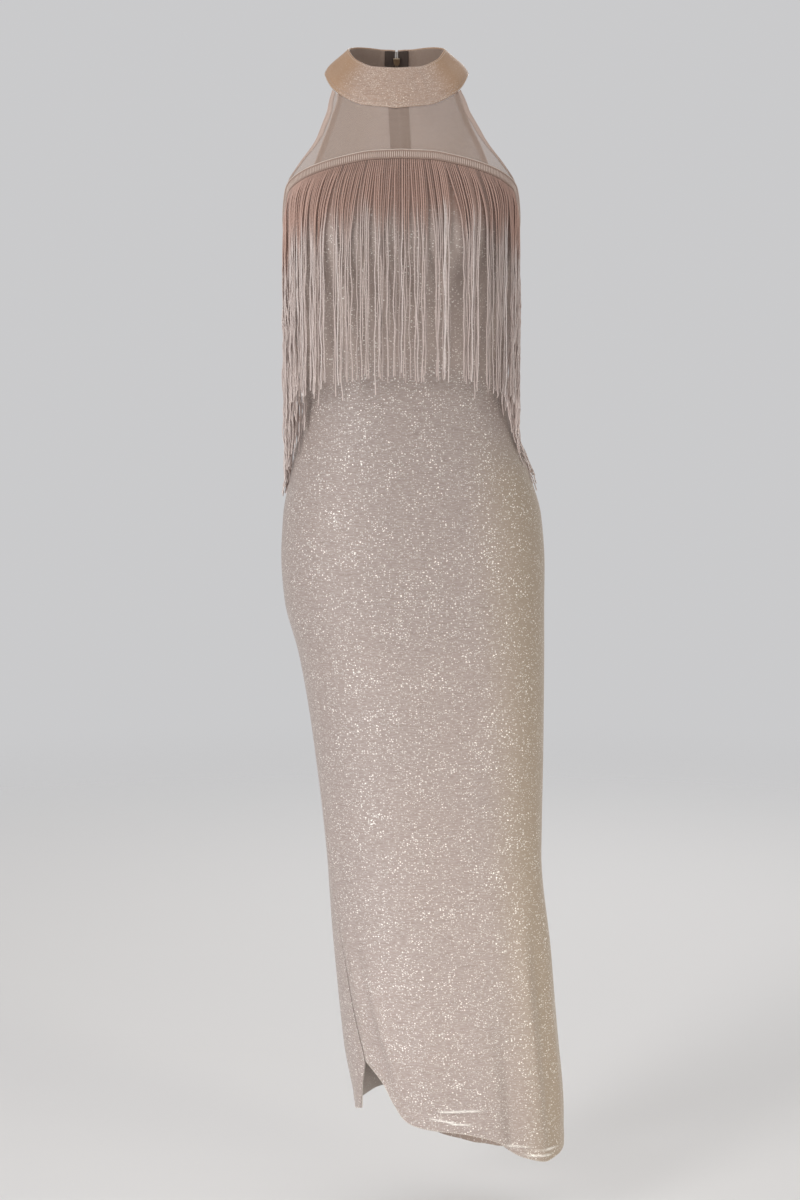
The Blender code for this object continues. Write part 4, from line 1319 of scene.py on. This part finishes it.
def strandLines(path, seed):
    # lines that the strands hang in: over what they meet, plumb where free, in bunches
    chance = np.random.default_rng(seed)
    turn, drop = headerFoot(mix(path[:-1], path[1:], 0.5))
    count = len(turn)
    length = fringe["length"] + chance.uniform(-1, 1, count) * fringe["spread"]
    strays = chance.random(count) < fringe["strayShare"]
    length += np.where(strays, chance.uniform(0.3, 1, count) * fringe["stray"], 0)
    leftwards = -apartTurn(turn, 0)
    atLeft = smooth(*fringe["leftFrom"], leftwards) * (1 - smooth(*fringe["leftTo"], leftwards))
    length += fringe["leftLonger"] * atLeft
    out = np.stack((np.sin(np.radians(turn)), -np.cos(np.radians(turn)), 0 * turn), axis=1)
    across = np.stack((-out[:, 1], out[:, 0], 0 * turn), axis=1)
    root = skin(turn, drop)
    bunch = bunches(count, chance, *fringe["bunch"]) * fringe["pitch"]
    tuft = bunches(count, chance, *fringe["tuft"]) * fringe["pitch"]
    layer = chance.uniform(0, fringe["depth"], count)
    # beside the waist some of them lean in towards the dress instead of hanging plumb
    beside = smooth(*fringe["beside"], np.abs(apartTurn(turn, 0)))
    leans = chance.random(count) < fringe["leanShare"]
    lean = np.where(leans, chance.uniform(*fringe["lean"], count), 0) * beside
    loose = 0.9 + 0.7 * beside
    waves = []
    for longest, shortest, reach in fringe["sways"]:
        waves.append((2 * pi / chance.uniform(shortest, longest, (2, count)),
                      chance.uniform(0, 2 * pi, (2, count)), reach * chance.uniform(0.3, 1, (2, count))))
    reach = np.full(count, fringe["lift"] + fringe["headerWall"] * 0.4)
    lines = [root + out * reach[:, None]]
    for i in range(1, fringe["steps"] + 1):
        share = i / fringe["steps"]
        fallen = length * share
        lower = drop + fallen
        free = smooth(0.03, 0.5, share) * loose
        sway = [sum(np.sin(rate[k] * fallen + phase[k]) * far[k] for rate, phase, far in waves) * free
                for k in range(2)]
        aside = bunch * smooth(0.02, 0.42, share) + tuft * smooth(0.12, 0.9, share) + sway[0]
        for _ in range(2):
            spot = root + across * aside[:, None] + out * reach[:, None]
            middle = between(dress["sections"], 1, lower)
            x, y = spot[:, 0] - middle, spot[:, 1]
            surface = skin(np.degrees(np.arctan2(x, -y)), lower)
            push = np.hypot(surface[:, 0] - middle, surface[:, 1]) - np.hypot(x, y)
            clear = fringe["clear"] * 0.4 + (layer + fringe["clear"] * 0.6) * smooth(0, 0.08, share)
            reach = reach + np.maximum(0, push + clear)
        spare = np.maximum(0, -(push + clear))
        shown = reach - lean * spare * smooth(0.25, 1, share) + np.minimum(sway[1] + spare, np.abs(sway[1]))
        line = root + across * aside[:, None] + out * shown[:, None]
        line[:, 2] = -lower
        lines.append(line)
    # painted shade: the ones that lie deeper are darker; the rest of each tone is random
    return np.stack(lines, axis=1), 0.6 * layer / fringe["depth"] + 0.4 * chance.random(count)


def laidOn(name, points, sizes, finish, fields=None):
    # yarn along lines of points, as a piece
    values = {"Width": sizes[0], "Waver": sizes[1], "Steps": sizes[2], "Sides": sizes[3], "Finish": finish}
    made[name] = followRecipe(linesOf(name, points, fields), yarn, values, name)


def makeFringe(name, first, last, seed):
    lift, wall = fringe["lift"], fringe["headerWall"]
    lifts = [(0, lift + 0.3 * mm), (0.05, lift + wall), (0.22, lift + wall), (0.3, lift + wall * 0.7),
             (0.5, lift + wall * 0.75), (0.8, lift + wall * 0.7), (0.96, lift + wall), (1.0, lift + 0.3 * mm)]
    bandPath = headerPath(first, last, fringe["bandStep"])
    points, normals = headerBand(name + "_header", bandPath, lifts)
    # ribs across the band, a bright rolled top edge and, under the ribs, a dark cord as painted shadow
    ribPath = headerPath(first, last, fringe["ribPitch"])
    topPoint, topNormal = onSkin(ribPath, topLine(ribPath) + dress["seam"])
    footPoint, footNormal = onSkin(*headerFoot(ribPath))
    outward = unit(topNormal + footNormal)
    middle = mix(topPoint, footPoint, 0.52) + outward * (lift + wall * 0.8)
    source = pointsOf(name + "_ribs", middle, unit(footPoint - topPoint), outward)
    values = {"Long": fringe["header"] * 0.80, "Wide": fringe["ribWidth"], "High": 1.2 * mm,
              "Finish": braidYarn}
    made[name + "_ribs"] = followRecipe(source, stitch, values, name + "_ribs")
    edge = [points[1] + normals[1] * (lift + wall)]
    laidOn(name + "_cord", edge, (1.2 * mm, 0.0, len(bandPath), 5), brightYarn)
    # painted shadow under the band
    foot = [points[-1] + normals[-1] * (lift + 0.3 * mm)]
    laidOn(name + "_shade", foot, (1.3 * mm, 0.0, len(bandPath), 5), shadowThread)
    strands, tonesAndShades = strandLines(headerPath(first, last, fringe["pitch"]), seed)
    tonesAndShades = np.repeat(tonesAndShades, strands.shape[1])
    sizes = (fringe["width"], fringe["waver"], fringe["steps"] + 1, fringe["sides"])
    laidOn(name + "_strands", strands, sizes, fringeYarn, {"tone": tonesAndShades})


sideGap = gapTurn(90, topLine(90), 2 * dress["seam"])
zipGap = gapTurn(180, topLine(180), 2 * fringe["stop"])
leftSeam = dress["slit"][0][1]
makeFringe("fringe_front", leftSeam + sideGap, dress["rightSeam"] - sideGap, 3)
makeFringe("fringe_back_right", dress["rightSeam"] + sideGap, 180 - zipGap, 5)
makeFringe("fringe_back_left", zipGap - 180, leftSeam - sideGap, 8)
print("fringe made")

hemStitches = {
    "spacing": 3.0 * mm,
    "long": 2.3 * mm,
    "wide": 0.45 * mm,
    "high": 0.4 * mm,
    "lift": 0.05 * mm,
}


def hemRow(grid, hemTable, fromHem):
    turns, drops, (outer, normals) = grid
    line, out = [], []
    for c in range(1, turns.shape[1] - 1):
        hem = between(hemTable, 1, turns[:, c] % 360 if hemTable is dress["backHem"] else turns[:, c])
        away = hem - drops[:, c]
        order = np.argsort(away)
        line.append(readOff(fromHem, away[order], outer[order, c]))
        out.append(normals[np.argmin(np.abs(away - fromHem)), c])
    return np.array(line), np.array(out)


def hemRows(fromHem):
    hems = ((frontGrid, "frontHem"), (backRight, "backHem"), (backLeft, "backHem"))
    return [hemRow(grid, dress[hem], fromHem) for grid, hem in hems]


def slitRow(grid, last, fromEdge):
    _, drops, (outer, normals) = grid
    line, out = [], []
    for r in range(len(drops)):
        if drops[r, -1 if last else 0] < dress["slitDrop"] + 0.01:
            continue
        points = outer[r, ::-1] if last else outer[r]
        run = runAlong(points)
        line.append(readOff(fromEdge, run, points))
        near = np.argmin(np.abs(run - fromEdge))
        out.append((normals[r, ::-1] if last else normals[r])[near])
    return np.array(line), np.array(out)


slitSewn = panels["slitFold"] - panels["sewnIn"]
slitRows = [slitRow(frontGrid, False, slitSewn), slitRow(backLeft, True, slitSewn)]
sew("hem_stitches", hemRows(panels["hemFold"] - panels["sewnIn"]) + slitRows, hemStitches, seamThread)
edgeStitches = {"spacing": 2.4 * mm, "long": 2.0 * mm, "wide": 0.55 * mm, "high": 0.5 * mm, "lift": 0.0}
sew("hem_edge_stitches", hemRows(1.0 * mm), edgeStitches, brightThread)
print("sewing made")

zipSizes = {
    "tapeWidth": 13 * mm,
    "tapeWall": 0.9 * mm,
    "drop": 0.50,
    "collarWall": 2.4 * mm,
    "coil": {
        "spacing": 0.85 * mm,
        "long": 0.7 * mm,
        "wide": 3.7 * mm,
        "high": 1.1 * mm,
        "lift": -0.45 * mm,
    },
    "sliderShare": 0.3,  # how far down the collar the slider stands
    "sliderClear": 0.8 * mm,
    "sliderDepth": 2.6 * mm,
    "bevel": 0.35 * mm,
    "bridgeWidth": 1.8 * mm,
    "tabAxis": 2.2 * mm,  # the tab's hinge, out from the collar
    "tabWall": 1.2 * mm,
    # corners in millimetres, across and up
    "shield": [(-4, 4.5), (4, 4.5), (3.7, 0), (2.6, -4.5), (-2.6, -4.5), (-3.7, 0)],
    "wedge": [(-1.1, 4.2), (1.1, 4.2), (0.5, -1.5), (-0.5, -1.5)],
    "tabHead": [(-2.9, 0.2), (-2.5, 0.7), (2.5, 0.7), (2.9, 0.2)],
    "tabWindow": [(-1.7, -0.7), (1.7, -0.7), (1.7, -4.6), (-1.7, -4.6)],
}


def zipLine(sign, away):
    # points down the centre back on the cloth's inner face, at a distance from its edge
    line, out = [], []
    for share in np.linspace(0.03, 0.97, 16):
        reach = abs(collarSkin(180.0, share)[1])
        turn = sign * (180 - np.degrees((collar["slot"] / 2 + away) / reach))
        point, normal = onCollar(np.array([turn]), np.array([share]))
        line.append(point[0] - normal[0] * (zipSizes["collarWall"] + dress["seam"]))
        out.append(normal[0])
    foot = collarFoot(np.array([180.0 * sign]))[0]
    start = skin(180 * sign, -foot[2])
    drops = np.concatenate((np.linspace(-foot[2] + 4 * mm, topLine(180) - 4 * mm, 40),
                            np.linspace(topLine(180) + 4 * mm, zipSizes["drop"], 56)))
    for drop in drops:
        turn = 180 * sign - sign * gapTurn(180, drop, 2 * away + dress["seam"])
        point, normal = onSkin(turn, drop)
        share = np.clip((drop + foot[2]) / (topLine(180) + foot[2]), 0, 1)
        point = point + (foot - start) * (1 - share) ** 2
        cover = yoke["wall"] if drop < topLine(180) else panels["wall"]
        line.append(point - normal * (cover + dress["seam"] + 0.1 * mm))
        out.append(normal)
    return np.array(line), np.array(out)


def zipTapeHalf(name, sign):
    columns = [zipLine(sign, away) for away in np.linspace(0.2 * mm, zipSizes["tapeWidth"], 9)]
    points = np.stack([line for line, _ in columns], axis=1)
    normals = np.stack([out for _, out in columns], axis=1)
    if sign > 0:
        points, normals = points[:, ::-1], normals[:, ::-1]
    run = runAlong(points[:, 0])
    across = np.linspace(0, zipSizes["tapeWidth"], 9)
    places = np.stack(np.broadcast_arrays(across[None], run[:, None]), axis=-1)
    made[name] = wallOf(name, points, points - normals * zipSizes["tapeWall"], places, zipTape)


def coilLine():
    # down the middle between the tapes
    left, leftOut = zipLine(-1, 0.0)
    right, rightOut = zipLine(1, 0.0)
    return mix(left, right, 0.5), unit(leftOut + rightOut)


def zipSeat():
    # the slider's place on the collar's centre back: Y straight out of it, Z up its slope
    point, out = onCollar(np.array([180.0]), np.array([zipSizes["sliderShare"]]))
    point, out = point[0] * (0, 1, 1), unit(out[0] * (0, 1, 1))
    side = np.array((1.0, 0.0, 0.0))
    return point, np.stack((side, out, np.cross(side, out)))


def drawnIn(outline, inset):
    # an outline drawn in evenly towards its middle
    middle = outline.mean(axis=0)
    away = middle - outline
    return outline + away / np.linalg.norm(away, axis=1, keepdims=True) * inset


def rounded(corners, bend, count=6):
    # a polygon of (across, up) corners, each rounded off with a small curve
    corners = np.asarray(corners)
    points = []
    neighbours = zip(np.roll(corners, 1, axis=0), corners, np.roll(corners, -1, axis=0))
    for before, corner, after in neighbours:
        start = corner + unit(before - corner) * bend
        end = corner + unit(after - corner) * bend
        for t in np.linspace(0, 1, count):
            points.append((1 - t) ** 2 * start + 2 * t * (1 - t) * corner + t**2 * end)
    return np.array(points)


def metalPiece(name, shapes):
    # closed shapes in the slider's own axes, each a ring of loops or a stack with lids
    seat, axes = zipSeat()
    points, faces = [], []
    for loops, closed in shapes:
        count = len(loops[0])
        first = len(points)
        points.extend(np.concatenate(loops) @ axes + seat)
        index = first + np.arange(len(loops) * count).reshape(len(loops), count)
        after = np.roll(index, -1, axis=0) if closed else index[1:]
        near = index if closed else index[:-1]
        strips = np.stack((near, np.roll(near, -1, 1), np.roll(after, -1, 1), after), axis=-1)
        faces.extend(strips.reshape(-1, 4).tolist())
        if not closed:
            faces.extend((index[0, ::-1].tolist(), index[-1].tolist()))
    mesh = bpy.data.meshes.new(name)
    mesh.from_pydata([tuple(point) for point in points], [], faces)
    form = bmesh.new()
    form.from_mesh(mesh)
    bmesh.ops.recalc_face_normals(form, faces=form.faces)
    form.to_mesh(mesh)
    form.free()
    made[name] = finishedObject(name, mesh, zipMetal, 40)


def setOut(outline, out):
    # an outline of (across, up) set at a distance out
    return np.stack((outline[:, 0], np.full(len(outline), out), outline[:, 1]), axis=1)


def makeSlider():
    # two shield-shaped plates with the coil's channel between them, and an arch for the tab
    bevel = zipSizes["bevel"]
    face = -(zipSizes["collarWall"] + dress["seam"] + 1 * mm + zipSizes["sliderClear"])
    back = face - zipSizes["sliderDepth"]
    shield = rounded(np.array(zipSizes["shield"]) * mm, 1.2 * mm)
    shapes = []
    for low, high in ((back, back + 1.0 * mm), (face - 1.0 * mm, face)):
        loops = [setOut(drawnIn(shield, bevel), low), setOut(shield, low + bevel),
                 setOut(shield, high - bevel), setOut(drawnIn(shield, bevel), high)]
        shapes.append((loops, False))
    wedge = rounded(np.array(zipSizes["wedge"]) * mm, 0.35 * mm, 4)
    shapes.append(([setOut(wedge, back + 0.9 * mm), setOut(wedge, face - 0.9 * mm)], False))
    # the arch: a bar bent over the tab's axis, its feet in the front plate
    top = zipSizes["tabAxis"] + 1.7 * mm
    bar = np.array([
        (face - 0.6 * mm, 2.4 * mm),
        (top - 1.6 * mm, 2.4 * mm),
        (top - 0.5 * mm, 1.6 * mm),
        (top, 0.0),
        (top - 0.5 * mm, -1.6 * mm),
        (top - 1.6 * mm, -2.4 * mm),
        (face - 0.6 * mm, -2.4 * mm),
    ])
    fine = np.linspace(0, len(bar) - 1, 31)
    path = readOff(fine, np.arange(len(bar)), bar)
    ahead = unit(np.gradient(path, axis=0))
    turned = np.stack((ahead[:, 1], -ahead[:, 0]), axis=1)
    half, thick = zipSizes["bridgeWidth"] / 2, 0.5 * mm
    section = rounded([(-half, -thick), (half, -thick), (half, thick), (-half, thick)], 0.35 * mm, 3)
    loops = []
    for place, aside in zip(path, turned):
        spot = place + section[:, 1:] * aside
        loops.append(np.stack((section[:, 0], spot[:, 0], spot[:, 1]), axis=1))
    shapes.append((loops, False))
    metalPiece("zip_slider_metal", shapes)


def makePullTab():
    # a long flat tab with a window for the arch, its edges bevelled
    axis, half, bevel = zipSizes["tabAxis"], zipSizes["tabWall"] / 2, zipSizes["bevel"]
    bend = np.linspace(0, pi, 17)
    foot = np.stack((3.5 * mm * np.cos(bend), -16.5 * mm - 3.5 * mm * np.sin(bend)), axis=1)
    outline = np.concatenate((np.array(zipSizes["tabHead"]) * mm, foot))
    window = rounded(np.array(zipSizes["tabWindow"]) * mm, 0.6 * mm, 5)
    # the window's points in step with the outline's
    at = np.linspace(0, len(window), len(outline), endpoint=False)
    ring = np.concatenate((window, window[:1]))
    inner = readOff(at, np.arange(len(ring)), ring)
    loops = [setOut(drawnIn(outline, bevel), axis + half), setOut(outline, axis + half - bevel),
             setOut(outline, axis - half + bevel), setOut(drawnIn(outline, bevel), axis - half),
             setOut(drawnIn(inner, -bevel), axis - half), setOut(inner, axis - half + bevel),
             setOut(inner, axis + half - bevel), setOut(drawnIn(inner, -bevel), axis + half)]
    metalPiece("zip_pull_tab_metal", [(loops, True)])


zipTapeHalf("zip_tape_left_weave", -1)
zipTapeHalf("zip_tape_right_weave", 1)
sew("zip_coil", [coilLine()], zipSizes["coil"], zipCoil)
makeSlider()
makePullTab()
print("zip made")

replaced = {
    "collar_knit": "collar",
    "yoke_front_mesh": "yoke_front",
    "yoke_back_left_mesh": "yoke_back_left",
    "yoke_back_right_mesh": "yoke_back_right",
    "front_panel_knit": "front_panel",
    "back_panel_left_knit": "back_panel_left",
    "back_panel_right_knit": "back_panel_right",
    "fringe_front_strands": "fringe_front",
    "fringe_back_left_strands": "fringe_back_left",
    "fringe_back_right_strands": "fringe_back_right",
    "zip_tape_left_weave": "zip_tape_left",
    "zip_tape_right_weave": "zip_tape_right",
    "zip_slider_metal": "zip_slider",
    "zip_pull_tab_metal": "zip_pull_tab",
}
for name, piece in made.items():
    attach(piece, "pull_tab" if name.startswith("zip_pull_tab") else body)
    if name in replaced:
        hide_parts(replaced[name])

print("pieces ride on the dress")

studio = {
    "floor": -1.44,
    "world": (0.985, 0.985, 1.0),
    "worldStrength": 0.60,
    "keyPower": 30,
    "lowPower": 2.1,
    "lowSpread": 44,
    "fillPower": 4.6,
    "sidePower": 1.7,
    "sideSpread": 44,
    "backPower": 30,
}
floorMesh = bpy.data.meshes.new("floor")
floorCorners = [(x, y, studio["floor"]) for x, y in ((-9, -9), (9, -9), (9, 9), (-9, 9))]
floorMesh.from_pydata(floorCorners, [], [(0, 1, 2, 3)])
floor = newObject("floor", floorMesh)
floorFinish, floorTree, floorShader = newFinish("pale floor")
inputs = {0: piecePlace(floorTree)}
away = addNode(floorTree, "ShaderNodeVectorMath", {"operation": "LENGTH"}, inputs, "Value")
floorCover = 1.0 - stepUp(floorTree, away, 1.9, 4.2)  # fades out into the background
feed(floorTree, floorShader, {"Base Color": (0.70, 0.69, 0.68, 1), "Roughness": 0.8, "Alpha": floorCover})
floorMesh.materials.append(floorFinish)

world = bpy.data.worlds.new("studio")
bpy.context.scene.world = world
world.use_nodes = True
world.node_tree.nodes["Background"].inputs["Color"].default_value = (*studio["world"], 1)
world.node_tree.nodes["Background"].inputs["Strength"].default_value = studio["worldStrength"]


def softLight(name, place, target, size, power, colour, angle=180):
    light = bpy.data.lights.new(name, "AREA")
    light.shape, light.size, light.energy, light.color = "DISK", size, power, colour
    light.spread = radians(angle)
    lamp = newObject(name, light)
    lamp.location = place
    lamp.rotation_euler = (Vector(target) - Vector(place)).to_track_quat("-Z", "Y").to_euler()
    lamp.visible_camera = False


softLight("key", (-1.9, -2.1, 0.3), (0.03, 0, -0.65), 1.1, studio["keyPower"], (1.0, 0.98, 0.97))
softLight("low", (-1.7, -2.3, -0.8), (0.03, 0, -1.3), 0.6, studio["lowPower"], (0.97, 0.98, 1.0),
          studio["lowSpread"])
softLight("fill", (2.2, -1.6, -0.5), (0.05, 0, -0.9), 1.6, studio["fillPower"], (1.0, 0.94, 0.84))
softLight("side", (2.2, -1.9, -0.85), (0.15, 0, -1.25), 0.7, studio["sidePower"], (1.0, 0.95, 0.84),
          studio["sideSpread"])
softLight("back", (0.6, 2.6, 1.0), (0.03, 0, -0.6), 2.0, studio["backPower"], (1.0, 0.99, 0.98))

camera = bpy.data.cameras.new("camera")
camera.sensor_fit, camera.sensor_height, camera.lens = "VERTICAL", 24, 44.8
cameraObject = bpy.data.objects.new("camera", camera)
cameraObject.location = (0.0043, -2.8, -0.32)
cameraObject.rotation_euler = (radians(90 - 6.44), 0, 0)
bpy.context.scene.collection.objects.link(cameraObject)
bpy.context.scene.camera = cameraObject
bpy.context.scene.view_settings.view_transform = "Standard"
print("studio made")
